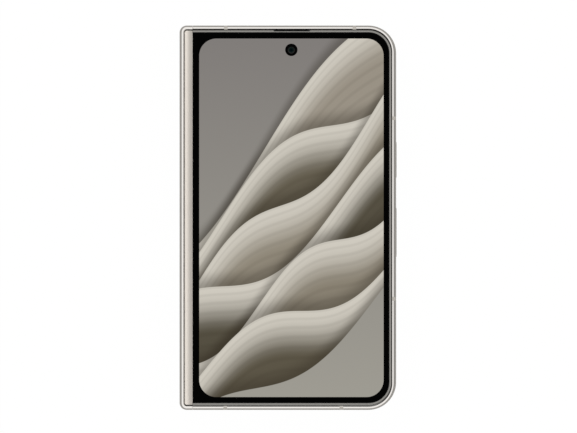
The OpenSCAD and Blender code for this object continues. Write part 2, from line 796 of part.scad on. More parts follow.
module rocker_pin() {
  color("#c8c9cb") rear() rocker_pin_shape(0.01);
}

module inner_camera_place() {
  translate([inner_cam_x, inner_cam_y, 0]) children();
}

module inner_camera() {
  color("#15161a") rear() inner_camera_place() difference() {
    union() {
      translate([0, 0, floor_z]) cylinder(r = 1.9, h = display_z - 0.05 - floor_z);
      translate([0, 0, floor_z]) cylinder(r = 1.4, h = half_t - floor_z);
    }
    translate([0, 0, half_t - 0.4]) cylinder(r1 = 0.6, r2 = 1, h = 0.5);
  }
}

module rear_bezel() {
  color("#111214") rear() bezel([[inner_cam_x, inner_cam_y, 1.45]]);
}

module rear_support_plate() {
  color("#7e8084") rear() support_plate();
}

module inner_display_rear() {
  color("#0a0b0d") rear() rigid_display();
}

module rear_hinge_arms() {
  color("#8a8c90") {
    rear() hinge_arms();
    spine() train_gear(0);
  }
}

module rear_antenna_breaks() {
  color("#a89f93") rear() antenna_breaks();
}

module rear_magnets() {
  color("#6d6f73") rear() magnets();
}

module rear_screws() {
  color("#c4c6c8") rear() screws();
}

// ---- Spine ----

module hinge_cover() {
  color("#d8d4cc") spine() intersection() {
    along_y(-half_h, half_h) difference() {
      spine_outline(spine_r);
      spine_outline(spine_r - shell_t);
      translate([pivot_x, -far / 2]) square([far, far]);
    }
    spine_plan();
  }
}

// Closed end of the spine, with the lid that covers the gears beside the opened display
module hinge_end_caps() {
  reach = pivot_x + pivot_depth;
  color("#17181a") spine() intersection() {
    both_ends() {
      along_y(mech_out, half_h) {
        intersection() {
          spine_outline(spine_r - shell_t - 0.01);
          translate([0, -far / 2]) square([pivot_x + 0.2, far]);
        }
        translate([pivot_x + 0.05, -reach]) square([cap_x - pivot_x - 0.05, 2 * reach]);
      }
      difference() {
        block([cap_x - lid_t, cap_x], [mech_in, mech_out + skim], [-reach, reach]);
        for (s = [-1, 1]) translate([0, 0, s * (reach + arm_slot) / 2])
          cube([far, 2 * (gear_y + run_gap), reach - arm_slot + skim], center = true);
      }
      // The lid's foot on the hinge base
      block([pivot_x + 1.25, cap_x - lid_t + skim], [mech_out - plate_t, mech_out + skim],
        [-arm_slot, arm_slot]);
    }
    spine_plan();
  }
}

module hinge_bases() {
  x_in = shell_t + 0.01;
  color("#77797d") spine() both_ends() {
    for (y = [mech_in, mech_out - plate_t])
      along_y(y, y + plate_t) difference() {
        intersection() {
          spine_outline(spine_r - shell_t - 0.01);
          translate([0, -far / 2]) square([pivot_x + 1.2, far]);
        }
        for (i = [0:3]) translate([pivot_x, -pivot_x + i * 2 * pitch_r]) circle(pin_r);
      }
    block([x_in, x_in + 0.35], [mech_in, mech_out], [-pivot_x, pivot_x]);
  }
}

module hinge_pins() {
  color("#cfd1d3") spine() both_ends() along_y(mech_in, mech_out)
    for (i = [0:3]) translate([pivot_x, -pivot_x + i * 2 * pitch_r]) circle(pin_r);
}

module inner_display_fold() {
  color("#0a0b0d") spine() along_y(-panel_h, panel_h)
    polygon(concat(loop_line(loop_r + fold_t, fold_gap / 2 + fold_t),
      backwards(loop_line(loop_r, fold_gap / 2))));
}

module hinge_flex_cable() {
  color("#a8672a") spine() along_y(cable_y[0], cable_y[1])
    polygon(concat(cable_line(cable_r), backwards(cable_line(cable_r - cable_t))));
}

module rear_idler_gears() {
  color("#b09a5b") spine() train_gear(1, run_gap);
}

module front_idler_gears() {
  color("#b09a5b") spine() train_gear(2, run_gap);
}

// ---- Front half ----

// Cuts an upright slot with slanted ends
module earpiece_cut(grow, z) {
  translate([earpiece_x, half_h - ear_u - ear_h / 2, z[0]]) linear_extrude(z[1] - z[0])
    offset_slot(earpiece_w + 2 * grow, ear_h + 2 * grow);
}

module offset_slot(w, h) {
  polygon([[-w / 2, h / 2], [w / 2, h / 2], [w / 2 - h / 2, -h / 2], [-w / 2 + h / 2, -h / 2]]);
}

module front_frame() {
  color("#b9b1a6") front() difference() {
    half_frame();
    earpiece_cut(0, [-1, 1.4]);
    // Mouth of the tray
    translate([tray_x, -half_h - 1, tray_z + tray_t / 2]) rotate([-90, 0, 0]) {
      linear_extrude(1 + tray_face + 0.1) stadium(tray_face_w + 2 * key_gap, tray_face_h + 2 * key_gap);
      linear_extrude(rim_w + 3) square([tray_w + 0.4, tray_t + 0.4], center = true);
    }
    // Pin hole that lets the tray out
    edge_hole(tray_x - tray_face_w / 2 - 2.4, -1, mic_r, tray_z + tray_t / 2);
  }
}

module front_hinge_rail() {
  color("#c9c0b4") front() hinge_rail();
}

module front_mid_plate() {
  color("#8f9194") front() mid_plate([]);
}

module cover_glass() {
  color("#101113") front()
    half_plate([rail_w + glass_gap, body_w - rim_w - glass_gap], rail_in, bay_r - glass_gap, [0, glass_t]);
}

module cover_display_panel() {
  color("#3a3a38") front() difference() {
    half_plate([bay_x + 1.6, body_w - rim_w - 1.1], rail_in - 1.1, bay_r - 1.1, [glass_t, glass_t + panel_t]);
    translate([punch_x, punch_y, 0]) cylinder(r = punch_r + 0.1, h = far);
  }
}

module cover_camera() {
  color("#15161a") front() translate([punch_x, punch_y, 0]) {
    difference() {
      translate([0, 0, glass_t]) cylinder(r = punch_r - 0.15, h = panel_t + 0.1);
      translate([0, 0, glass_t - 0.1]) cylinder(r1 = punch_r * 0.7, r2 = punch_r * 0.35, h = 0.7);
    }
    translate([-3.4, -3.4, glass_t + panel_t + 0.02]) cube([6.8, 6.8, floor_z - glass_t - panel_t - 0.04]);
  }
}

module earpiece_mesh() {
  color("#0e0f10") front() earpiece_cut(-0.03, [0.3, 0.5]);
}

module earpiece_speaker() {
  z = glass_t + panel_t + 0.05;
  color("#2b2c2f") front() {
    block([punch_x + 4.5, punch_x + 17], [punch_y - 4, punch_y + 5.4], [z, floor_z - 0.02]);
    block([punch_x + 1, punch_x + 8], [punch_y + 4.2, rail_in - 0.05], [z + 0.3, floor_z - 0.5]);
  }
}

module front_battery() {
  color("#26282c") front() battery(front_cell_t);
}

module sub_board() {
  color("#1f4a35") front() difference() {
    block([board_x[0], body_w - rim_w - 5], [-wall_end, cell_low], [floor_z - board_t, floor_z]);
    for (x = notch_x) translate([x, -rail_in, 0]) cylinder(r = notch_r, h = far);
    translate([board_mic[0], board_mic[1], 0]) cylinder(r = board_mic[2], h = far);
  }
}

module sim_reader() {
  wall = 0.22;
  gap = 0.08;
  w = tray_w / 2 + gap;
  low = -half_h + rim_w + 0.1;
  back = -half_h + tray_face + tray_l + 0.3;
  color("#b4b6b8") front() translate([tray_x, 0, 0]) difference() {
    block([-w - wall, w + wall], [low, back + wall], [tray_z - gap - wall, floor_z - board_t]);
    block([-w, w], [low - 1, back], [tray_z - gap, tray_z + tray_t + gap]);
    block([-w + 1.5, w - 1.5], [low + 3, low + 10], [0, tray_z]);
  }
}

module front_bezel() {
  color("#111214") front() bezel([]);
}

module front_support_plate() {
  color("#7e8084") front() support_plate();
}

module inner_display_front() {
  color("#0a0b0d") front() rigid_display();
}

module front_hinge_arms() {
  color("#8a8c90") {
    front() hinge_arms();
    spine() train_gear(3);
  }
}

module front_antenna_breaks() {
  color("#a89f93") front() antenna_breaks();
}

module front_magnets() {
  color("#6d6f73") front() magnets();
}

module front_screws() {
  color("#c4c6c8") front() screws();
}

// ---- Keys and tray ----

// Key cap with a stepped edge, and a flange in the pocket of the wall
module key_shape(l, flange) {
  step = 0.2;
  rotate([0, -90, 0]) {
    translate([0, 0, -key_proud + step])
      linear_extrude(key_proud - step + key_in - step) stadium_up(key_h, l);
    translate([0, 0, -key_proud]) linear_extrude(step + skim) stadium_up(key_h - 2 * step, l - 2 * step);
    translate([0, 0, flange]) linear_extrude(0.3) stadium_up(key_h + 0.4, l + 1);
  }
}

module power_button() {
  color("#cfc8bc") rear() translate([body_w, power_y, key_z]) {
    key_shape(power_l, key_pocket + 0.1);
    // Plunger that presses the switch
    translate([-rim_w - 0.05, 0, 0]) rotate([0, 90, 0]) cylinder(r = 0.8, h = 1.5);
  }
}

module volume_rocker() {
  color("#cfc8bc") rear() difference() {
    translate([body_w, volume_y, key_z]) {
      key_shape(volume_l, key_pocket + 0.35);
      for (s = [-1, 1]) translate([-rim_w - 0.1, s * 6, 0]) rotate([0, 90, 0]) cylinder(r = 0.8, h = 1.5);
    }
    rocker_pin_shape(-0.05);
  }
}

module sim_tray() {
  color("#cfc8bc") front() translate([tray_x, 0, tray_z]) difference() {
    union() {
      translate([0, -half_h, tray_t / 2]) rotate([-90, 0, 0])
        linear_extrude(tray_face) stadium(tray_face_w, tray_face_h);
      block([-tray_w / 2, tray_w / 2], [-half_h + tray_face - skim, -half_h + tray_face + tray_l],
        [0, tray_t]);
    }
    // Seat of the card, with a ledge under its edge
    translate([0, -half_h + tray_face + tray_l - card_l / 2 - 1.2, -1]) {
      linear_extrude(3) rounded_square(card_w - 1.7, card_l - 1.4, 1);
      linear_extrude(1 + tray_t - 0.3) rounded_square(card_w, card_l, 1);
    }
  }
}

rear_frame();
rear_hinge_rail();
rear_mid_plate();
rear_glass();
camera_bar();
camera_window();
main_camera();
ultrawide_camera();
telephoto_camera();
camera_flash();
mainboard();
board_shields();
rear_battery();
wireless_coil();
usb_c_port();
bottom_speaker();
top_speaker();
haptic_motor();
key_flex();
rocker_pin();
inner_camera();
rear_bezel();
rear_support_plate();
inner_display_rear();
rear_hinge_arms();
rear_antenna_breaks();
rear_magnets();
rear_screws();
hinge_cover();
hinge_end_caps();
hinge_bases();
hinge_pins();
inner_display_fold();
hinge_flex_cable();
rear_idler_gears();
front_idler_gears();
front_frame();
front_hinge_rail();
front_mid_plate();
cover_glass();
cover_display_panel();
cover_camera();
earpiece_mesh();
earpiece_speaker();
front_battery();
sub_board();
sim_reader();
front_bezel();
front_support_plate();
inner_display_front();
front_hinge_arms();
front_antenna_breaks();
front_magnets();
front_screws();
power_button();
volume_rocker();
sim_tray();
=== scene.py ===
# %% [markdown]
# # A book-style folding phone
# The phone lies closed on its back with the cover display up. Its two halves hang on a spine with
# two pivots that are geared together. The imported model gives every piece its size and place, and
# this lesson gives each surface its finish: polished metal, glass, lit display, plastic and film.
# Everything is worked out in millimetres and turned to metres when a mesh is made.

# %% Load the frame
import math

import bmesh
import bpy
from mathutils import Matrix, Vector
from mathutils.geometry import tessellate_polygon


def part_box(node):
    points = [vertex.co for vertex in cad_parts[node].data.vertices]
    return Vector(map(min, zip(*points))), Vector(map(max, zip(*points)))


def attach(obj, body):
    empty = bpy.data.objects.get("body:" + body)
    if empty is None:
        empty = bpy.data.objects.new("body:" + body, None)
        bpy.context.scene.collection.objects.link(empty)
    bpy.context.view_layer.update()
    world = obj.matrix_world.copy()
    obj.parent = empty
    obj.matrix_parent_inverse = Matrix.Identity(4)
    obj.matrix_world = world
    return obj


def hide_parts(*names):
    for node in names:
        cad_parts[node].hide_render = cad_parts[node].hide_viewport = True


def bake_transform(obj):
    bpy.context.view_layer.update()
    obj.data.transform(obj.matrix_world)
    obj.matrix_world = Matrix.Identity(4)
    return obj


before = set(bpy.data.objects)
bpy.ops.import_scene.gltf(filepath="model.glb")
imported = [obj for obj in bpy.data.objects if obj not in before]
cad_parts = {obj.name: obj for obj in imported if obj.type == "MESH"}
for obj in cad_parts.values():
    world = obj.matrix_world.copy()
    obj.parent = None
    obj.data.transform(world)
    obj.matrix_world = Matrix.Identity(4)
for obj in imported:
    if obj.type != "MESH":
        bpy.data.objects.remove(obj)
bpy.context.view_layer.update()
MM = 0.001

# %% [markdown]
# ## The sizes that everything follows
# The boxes of the solids say where the body's edges are, so that a new size in the model moves the
# looks with it. What a box can't tell, such as the radius of a corner, is a named value here.

# %% Sizes from the frame
def box_mm(node):
    """The lower and the upper corner of a solid."""
    return [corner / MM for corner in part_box(node)]


def centre_mm(node):
    """The middle and the size of a solid."""
    low, high = box_mm(node)
    return (low + high) / 2, high - low


HINGE_X = box_mm("hinge_cover")[0].x
FRAME_LOW, FRAME_HIGH = box_mm("front_frame")
RIGHT_X, HALF_H, TOP_Z = FRAME_HIGH
BACK_Z = box_mm("rear_frame")[0].z
HALF_T = TOP_Z - FRAME_LOW.z
MID_Z = (TOP_Z + BACK_Z) / 2
BODY_W = RIGHT_X - HINGE_X
GLASS_LOW, GLASS_HIGH = box_mm("cover_glass")
RAIL_LOW_X, RAIL_HIGH_X = box_mm("front_hinge_rail")[0].x, FRAME_LOW.x - 0.1
CORNER_R = 10.1
HINGE_CORNER_R = 2.6
RIM_W = 2.5  # from the side to the glass
SKIN_W = 1.0  # from the side to the inner bezel
GLASS_RADII = (CORNER_R - RIM_W - 0.05, 0.1, 0.1, CORNER_R - RIM_W - 0.05)
# Each half: the height of its outer face, and the sign of z from there inwards
HALVES = {"front": (TOP_Z, -1), "rear": (BACK_Z, 1)}
print(f"body {BODY_W:.1f} x {2 * HALF_H:.1f} x {TOP_Z - BACK_Z:.1f} mm")

# %% [markdown]
# ## Camera
# The phone is seen from straight above through a long lens, as in a catalogue picture. The lens is
# given, and the distance follows from how wide the picture is at the height of the cover glass.

# %% Camera
PICTURE_W = 209.5  # millimetres across the picture at the cover glass
SENSOR_W = 36
LENS = 200
OFF_X, OFF_Y = 0.27, 0.44  # the phone lies a little off the middle of the picture
camera = bpy.data.objects.new("camera", bpy.data.cameras.new("camera"))
camera.data.sensor_width = SENSOR_W
camera.data.lens = LENS
camera.data.clip_end = 20
camera.location = Vector((OFF_X, OFF_Y, TOP_Z + PICTURE_W / SENSOR_W * LENS)) * MM
bpy.context.collection.objects.link(camera)
bpy.context.scene.camera = camera
bpy.context.scene.view_settings.view_transform = "Standard"
print("camera at", round(camera.location.z, 3), "m")

# %% [markdown]
# ## Small tools for node trees
# Every material and every geometry tree here is built from the same call: it adds one node, sets
# its properties, fills its inputs and gives back one of its outputs. An input that is handed a
# socket becomes a link, and anything else becomes the socket's own value. Inputs that have no name
# of their own, as in a Mix node, are filled by number: 0 is the share, 6 and 7 are the two colours.

# %% Node helpers
def feed(node, inputs):
    """Fills a node's inputs from a list in their order, or from a dictionary by name or number."""
    for key, value in inputs.items() if isinstance(inputs, dict) else enumerate(inputs):
        if isinstance(value, bpy.types.NodeSocket):
            node.id_data.links.new(value, node.inputs[key])
        else:
            node.inputs[key].default_value = value


def add(tree, kind, inputs=(), out=0, **settings):
    """Adds a node with its settings and links; out names the output to give back, or None the node."""
    node = tree.nodes.new(("GeometryNode" if tree.type == "GEOMETRY" else "ShaderNode") + kind)
    for key, value in settings.items():
        setattr(node, key, value)
    feed(node, inputs)
    return node if out is None else node.outputs[out]


def srgb(code):
    """Turns a colour such as "#8a7f70" into linear values."""
    parts = [int(code[i:i + 2], 16) / 255 for i in (1, 3, 5)]
    return [c / 12.92 if c < 0.04045 else ((c + 0.055) / 1.055) ** 2.4 for c in parts] + [1]


def material(name, color, **values):
    """A new material with its shader's own sockets set, named as the shader names them."""
    made = bpy.data.materials.new(name)
    made.use_nodes = True
    print("finish:", name)
    shader = made.node_tree.nodes["Principled BSDF"]
    feed(shader, {"Base Color": srgb(color)})
    feed(shader, {key.replace("_", " "): value for key, value in values.items()})
    return made, made.node_tree, shader


def place_mm(tree):
    """Object coordinates in millimetres."""
    where = add(tree, "TexCoord", out="Object")
    return add(tree, "VectorMath", {0: where, "Scale": 1 / MM}, operation="SCALE")


# %% [markdown]
# ## Floor and light
# A polished edge only looks like metal if it has something to mirror. The studio is a world that is
# white to the camera, even to matt surfaces, and a tent with a dark opening overhead to mirrors:
# the opening keeps the glass black from above, and the pale tent draws a bright line along each
# rounded edge. The floor is pale card, near white to the camera, and it keeps the phone's shadow.

# %% Studio
MATT_LIGHT = 0.72
SIDE_DIP = 0.42  # how much lower the pale cloth hangs to the left and right than at the two ends
# The tent's grey by height, from the floor (0) to overhead (1)
TENT = [(0.0, 0.26), (0.16, 0.38), (0.34, 0.95), (0.93, 1.0), (0.962, 0.97), (0.984, 0.05), (1.0, 0.03)]
world = bpy.data.worlds.new("studio")
bpy.context.scene.world = world
world.use_nodes = True
sky = world.node_tree
sky.nodes.clear()
direction = add(sky, "SeparateXYZ", [add(sky, "TexCoord", out="Generated")], None).outputs
square = add(sky, "Math", [direction["X"], direction["X"]], operation="MULTIPLY")
dip = add(sky, "Math", [square, square], operation="MULTIPLY")
height = add(sky, "Math", [dip, -SIDE_DIP, direction["Z"]], operation="MULTIPLY_ADD")
tent = add(sky, "ValToRGB", [height], None)
while len(tent.color_ramp.elements) < len(TENT):
    tent.color_ramp.elements.new(0.5)
for stop, (position, grey) in zip(tent.color_ramp.elements, TENT):
    stop.position = position
    stop.color = (grey, grey * 0.99, grey * 0.98, 1)
ray = add(sky, "LightPath", out=None).outputs
light = add(sky, "Mix", {0: ray["Is Glossy Ray"], 2: MATT_LIGHT, 3: 1.0})
seen = add(sky, "Math", [ray["Is Camera Ray"], ray["Is Transmission Ray"]], operation="MAXIMUM")
color = add(sky, "Mix", {0: ray["Is Glossy Ray"], 6: (1, 1, 1, 1), 7: tent.outputs[0]}, 2, data_type="RGBA")
power = add(sky, "Mix", {0: seen, 2: light, 3: 1.0})
add(sky, "OutputWorld", [add(sky, "Background", [color, power])], None)
print("studio of", len(sky.nodes), "nodes")

# %% Floor and lamps
FLOOR_HALF = 3.0
FLOOR_Z = -0.03 * MM  # a hair under the camera bar
WHITE_SHARE = 0.95  # the rest shows the card with its shadow
WHITE_POWER = 1.035  # so that the floor, with its share of shadow, comes out as white as the sky
floor_mesh = bpy.data.meshes.new("floor")
corners = [(x * FLOOR_HALF, y * FLOOR_HALF, FLOOR_Z) for x, y in ((-1, -1), (1, -1), (1, 1), (-1, 1))]
floor_mesh.from_pydata(corners, [], [(0, 1, 2, 3)])
floor = bpy.data.objects.new("floor", floor_mesh)
bpy.context.collection.objects.link(floor)
card, tree, shader = material("pale floor card", "#a5a39f", Roughness=0.9)
white = add(tree, "Emission", [(1, 1, 1, 1), WHITE_POWER])
share = add(tree, "Math", [add(tree, "LightPath", out="Is Camera Ray"), WHITE_SHARE], operation="MULTIPLY")
feed(tree.nodes["Material Output"], [add(tree, "MixShader", [share, shader.outputs[0], white])])
floor_mesh.materials.append(card)

# Large soft lamps aimed at the phone: place, size and watts
for name, place, size, watts in (("key light", (-0.55, 0.65, 0.95), (0.7, 0.7), 4.0),
                                 ("fill light", (0.9, -0.4, 0.8), (0.9, 0.6), 2.0)):
    lamp = bpy.data.objects.new(name, bpy.data.lights.new(name, "AREA"))
    lamp.data.shape = "RECTANGLE"
    lamp.data.size, lamp.data.size_y = size
    lamp.data.energy = watts
    lamp.location = place
    lamp.visible_glossy = False  # the tent alone shows in the polish
    lamp.rotation_euler = (-Vector(place)).to_track_quat("-Z", "Y").to_euler()
    bpy.context.collection.objects.link(lamp)
    print(name, watts, "W")

# %% [markdown]
# ## Outlines and plates
# Nearly every outer piece of a phone is a plate with round corners and a fine rounded edge. Each
# outline is a function that can be drawn smaller by an inset, so that the rounding is a stack of
# insets and the flat face is the last ring filled in. A modelled bevel would do the same by hand, but
# this way every edge keeps its exact radius, and holes are further rings.

# %% Outlines
def arc(cx, cy, r, start, end, steps=14):
    """Points on an arc, with angles in degrees."""
    turns = [math.radians(start + (end - start) * i / steps) for i in range(steps + 1)]
    return [(cx + r * math.cos(t), cy + r * math.sin(t)) for t in turns]


def round_box(low, high, *radii):
    """A box from corner to corner, with one radius or four that go round from the upper right."""
    radii = radii * 4 if len(radii) == 1 else radii

    def ring(inset):
        x0, y0, x1, y1 = low[0] + inset, low[1] + inset, high[0] - inset, high[1] - inset
        r = [max(value - inset, 0.02) for value in radii]
        return (arc(x1 - r[0], y1 - r[0], r[0], 0, 90) + arc(x0 + r[1], y1 - r[1], r[1], 90, 180)
                + arc(x0 + r[2], y0 + r[2], r[2], 180, 270) + arc(x1 - r[3], y0 + r[3], r[3], 270, 360))
    return ring


def box_round(cx, cy, w, h, r):
    """A box about its middle, with one radius."""
    return round_box((cx - w / 2, cy - h / 2), (cx + w / 2, cy + h / 2), r)


def slot(cx, cy, w, h):
    """A slot with round ends, along X."""
    return box_round(cx, cy, w, h, h / 2 - 0.001)


def circle(cx, cy, r, steps=48):
    """The points of a circle."""
    return arc(cx, cy, r, 0, 360 * (1 - 1 / steps), steps - 1)


def disc(cx, cy, r, steps=48):
    """A round outline."""
    return lambda inset: circle(cx, cy, r - inset, steps)


# %% From a mesh to a piece
def new_piece(name, bm, *materials, angle=35):
    """Turns a bmesh in millimetres into a finished object at the origin, with sharp edges by angle."""
    bmesh.ops.remove_doubles(bm, verts=bm.verts, dist=1e-4)
    bmesh.ops.recalc_face_normals(bm, faces=bm.faces)
    bmesh.ops.scale(bm, vec=(MM, MM, MM), verts=bm.verts)
    mesh = bpy.data.meshes.new(name)
    bm.to_mesh(mesh)
    bm.free()
    for each in materials:
        mesh.materials.append(each)
    piece = bpy.data.objects.new(name, mesh)
    bpy.context.collection.objects.link(piece)
    return shade(piece, angle)


def shade(piece, angle=35):
    """Smooth shading that breaks at edges over the angle, and in which the large flat faces stay flat."""
    mesh = piece.data
    if mesh.attributes.get("custom_normal"):
        mesh.attributes.remove(mesh.attributes["custom_normal"])
    mesh.polygons.foreach_set("use_smooth", [True] * len(mesh.polygons))
    mesh.set_sharp_from_angle(angle=math.radians(angle))
    piece.modifiers.new("weights", "WEIGHTED_NORMAL").keep_sharp = True
    return settle(piece)


def settle(piece):
    """Replaces a piece's mesh by what its modifiers make of it."""
    graph = bpy.context.evaluated_depsgraph_get()
    made = bpy.data.meshes.new_from_object(piece.evaluated_get(graph), depsgraph=graph)
    piece.modifiers.clear()
    old, piece.data = piece.data, made
    bpy.data.meshes.remove(old)
    made.name = piece.name
    return piece


# %% Meshes from rings
def bridge(bm, one, two, indices=(0,)):
    """Closes the band between two rings of the same count; the material indices go round the ring."""
    for i in range(len(one)):
        k = (i + 1) % len(one)
        bm.faces.new((one[i], one[k], two[k], two[i])).material_index = indices[i % len(indices)]


def fill(bm, rings, index=0):
    """Fills the flat face between an outer ring and its holes."""
    verts = [v for ring in rings for v in ring]
    for corners in tessellate_polygon([[v.co for v in ring] for ring in rings]):
        bm.faces.new([verts[c] for c in corners]).material_index = index


def loft(bm, sections, indices=(0,), end_index=0):
    """Joins sections, given as lists of points, to a solid with flat ends."""
    rings = [[bm.verts.new(point) for point in section] for section in sections]
    for one, two in zip(rings, rings[1:]):
        bridge(bm, one, two, indices)
    for ring in (rings[0], rings[-1]):
        fill(bm, [ring], end_index)


# %% Plates
def plate_into(bm, outline, z_low, z_high, low_r=0.0, high_r=0.0, holes=(), hole_r=0.0, index=0):
    """Adds a plate with rounded upper and lower edges, and holes through it."""
    def wall(shape, r_low, r_high, sign):
        stack = []
        for r, z, side in ((r_low, z_low, -1), (r_high, z_high, 1)):
            turns = [math.pi / 2 * i / 5 for i in range(6)]
            part = [(r * (1 - math.cos(t)), z - side * r * (1 - math.sin(t))) for t in turns]
            stack += part[::side] if r else [(0, z)]
        return [[bm.verts.new((x, y, z)) for x, y in shape(sign * inset)] for inset, z in stack]

    walls = [wall(outline, low_r, high_r, 1)] + [wall(hole, hole_r, hole_r, -1) for hole in holes]
    for rings in walls:
        for one, two in zip(rings, rings[1:]):
            bridge(bm, one, two, (index,))
    for end in (0, -1):
        fill(bm, [rings[end] for rings in walls], index)


def plate(name, outline, z_low, z_high, finish, **shape):
    """A plate as a piece of its own."""
    bm = bmesh.new()
    plate_into(bm, outline, z_low, z_high, **shape)
    return new_piece(name, bm, finish)


# %% Cut and carry
def cut(piece, *cutters):
    """Takes the cutters away from a piece and deletes them."""
    for cutter in cutters:
        take = piece.modifiers.new("cut", "BOOLEAN")
        take.operation, take.object, take.solver = "DIFFERENCE", cutter, "EXACT"
        settle(piece)
        bpy.data.objects.remove(cutter)
    return shade(piece)


def carried(piece, body, slot_name, *nodes):
    """Hangs a finished piece on its body and hides the solids it stands for; its slot name is not used."""
    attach(piece, body)
    if nodes:
        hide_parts(*nodes)
    print(piece.name, "on", body, "with", len(piece.data.polygons), "faces")


# %% [markdown]
# ## Polished metal
# The rim is stainless or aluminium, bead-smoothed and then polished until it mirrors. Its colour
# comes from the metal itself, a warm silver, so the shader is fully metallic with a low roughness. A
# very fine noise in the roughness keeps the mirror from looking like liquid.

# %% Metals
def metal(name, color, roughness, spread=0.04, grain_mm=0.5, depth_mm=0.0):
    """A bare or anodised metal whose roughness wanders a little at the size of its grain."""
    made, tree, shader = material(name, color, Metallic=1.0)
    grain = add(tree, "TexNoise", {"Vector": place_mm(tree), "Scale": 1 / grain_mm, "Detail": 3.0})
    low, high = max(roughness - spread, 0.02), roughness + spread
    feed(shader, {"Roughness": add(tree, "MapRange", [grain, 0, 1, low, high])})
    if depth_mm:
        feed(shader, {"Normal": add(tree, "Bump", {"Height": grain, "Distance": depth_mm * MM})})
    return made


# The rim is close to a mirror, the blasted band has a soft, even sheen, the keys are a shade darker, and
# the cover of the hinge carries one blurred bright line along its length
polished_metal = metal("polished warm aluminium", "#f1eeea", 0.08, spread=0.03)
satin_metal = metal("bead blasted warm aluminium", "#f3ece3", 0.33, spread=0.03, grain_mm=0.12,
                    depth_mm=0.002)
key_metal = metal("satin key aluminium", "#cfc7bc", 0.24, spread=0.04)
hinge_metal = metal("brushed hinge steel", "#ded6cb", 0.22, spread=0.06, grain_mm=0.2)

# %% [markdown]
# ## The rounded frames
# A frame is one bar bent round three sides of its half and milled to a section: a rounded outer edge,
# a flat, a step that holds the glass, and a square inner side. It could be extruded and bevelled,
# but a section carried along a path keeps the rounding even in the corners, where reflections show
# every unevenness. The section is drawn by its distance inwards and its depth under the outer face.

# %% Section along a path
def u_path(x_from, x_to, half_h, r):
    """Points and outward directions round three sides of a half, from the hinge's upper side."""
    side = 1 if x_to > x_from else -1
    inner = x_to - side * r
    turns = [math.radians(90 - 90 * i / 28) for i in range(1, 28)]
    upper = [(x_from, half_h, 0, 1), (inner, half_h, 0, 1)]
    upper += [(inner + side * r * math.cos(t), half_h - r + r * math.sin(t), side * math.cos(t), math.sin(t))
              for t in turns]
    upper += [(x_to, half_h - r, side, 0)]
    return upper + [(x, -y, nx, -ny) for x, y, nx, ny in reversed(upper)]


def carry_section(bm, path, section_at, half, indices=(0,)):
    """Carries a closed section along a path on the outer face of a half.

    section_at gives the section for a place on the path: 0 on a long side, 1 at the top, -1 at the bottom."""
    face_z, inwards = HALVES[half]
    loft(bm, [[(x - nx * d, y - ny * d, face_z + inwards * w) for d, w in section_at(ny)]
              for x, y, nx, ny in path], indices)


def rounded_edge(r, steps=10, end=90):
    """An arc from the side wall up to the outer face, or to an angle short of it."""
    turns = [math.radians(end) * i / steps for i in range(steps + 1)]
    return [(r * (1 - math.cos(t)), r * (1 - math.sin(t))) for t in turns]


# %% Section of the frame
LIP_D = (1.84, RIM_W - 0.02)  # the trim between metal and glass lies this far in from the side
LIP_DEPTH = 0.35
LIP_AIR = 0.02
FOOT = 0.12  # chamfer where the two halves meet
CROWN_R = (1.85, 1.52)  # polishing has drawn the edge out wider than it was milled, most on the long side
CROWN_END = 77
GROOVE = 0.07  # a fine groove between the polished edge and the trim
LEAN = 0.04  # how much its floor leans outwards at the bottom
SKIN_T = 0.5


def crown(place):
    """The polished edge at a place on the path."""
    return rounded_edge(CROWN_R[0] + (CROWN_R[1] - CROWN_R[0]) * abs(place), 14, CROWN_END)


def frame_section(place):
    """The section of a frame."""
    edge = crown(place)
    step = LIP_D[0] - LIP_AIR
    return [(FOOT, HALF_T), (0, HALF_T - FOOT), *edge, (edge[-1][0] + 0.02, GROOVE),
            (step, GROOVE + LEAN * min(place, 0)), (step, LIP_DEPTH), (RIM_W, LIP_DEPTH),
            (RIM_W, HALF_T - SKIN_T), (SKIN_W, HALF_T - SKIN_T), (SKIN_W, HALF_T)]


# %% [markdown]
# ## Holes in the frames
# Ports, sound holes, key slots and the tray's mouth are milled through the bar. Each is cut with a
# boolean, because the holes cross a rounded wall, and the cutters take their place from the solids
# that fill the holes.

# %% Cutters
def laid(bm, axis):
    """Turns plates drawn in X and Y so that their thickness runs along the axis."""
    for v in bm.verts:
        x, y, z = v.co
        v.co = {"X": (z, x, y), "Y": (x, z, y), "Z": (x, y, z)}[axis]
    return bm


def cutter(outline, low, high, axis="Z"):
    """A plate or a rod to be cut away."""
    bm = bmesh.new()
    plate_into(bm, outline, low, high)
    return new_piece("cutter", laid(bm, axis))


PORT, PORT_SIZE = centre_mm("usb_c_port")
TRAY, TRAY_SIZE = centre_mm("sim_tray")
HOLE_STEP = 2.0
SPEAKER_X = [box_mm("bottom_speaker")[0].x + 2 + HOLE_STEP * i for i in range(6)]
VENT_X = [box_mm("top_speaker")[0].x + 3 + HOLE_STEP * i for i in range(4)]
MIC_HOLES_X = (HINGE_X + BODY_W / 3, RIGHT_X - 14)
PIN_X = TRAY.x - TRAY_SIZE.x / 2 - 2.4
HOLE_R = 0.6
MIC_R = 0.4
KEY_H = 2.2
KEY_GAP = 0.12
TRAY_FACE_H = 1.9
OVER = 1.0  # how far a cutter reaches outside the wall
KEY_DEPTH, MOUTH_DEPTH, EAR_DEPTH = 4.0, 1.2, 1.4
UPPER = (HALF_H - RIM_W - 2, HALF_H + OVER)  # from inside the frame to outside it
LOWER = (-UPPER[1], -UPPER[0])
BREAK_D = 1.5
BREAK_W = 1.3
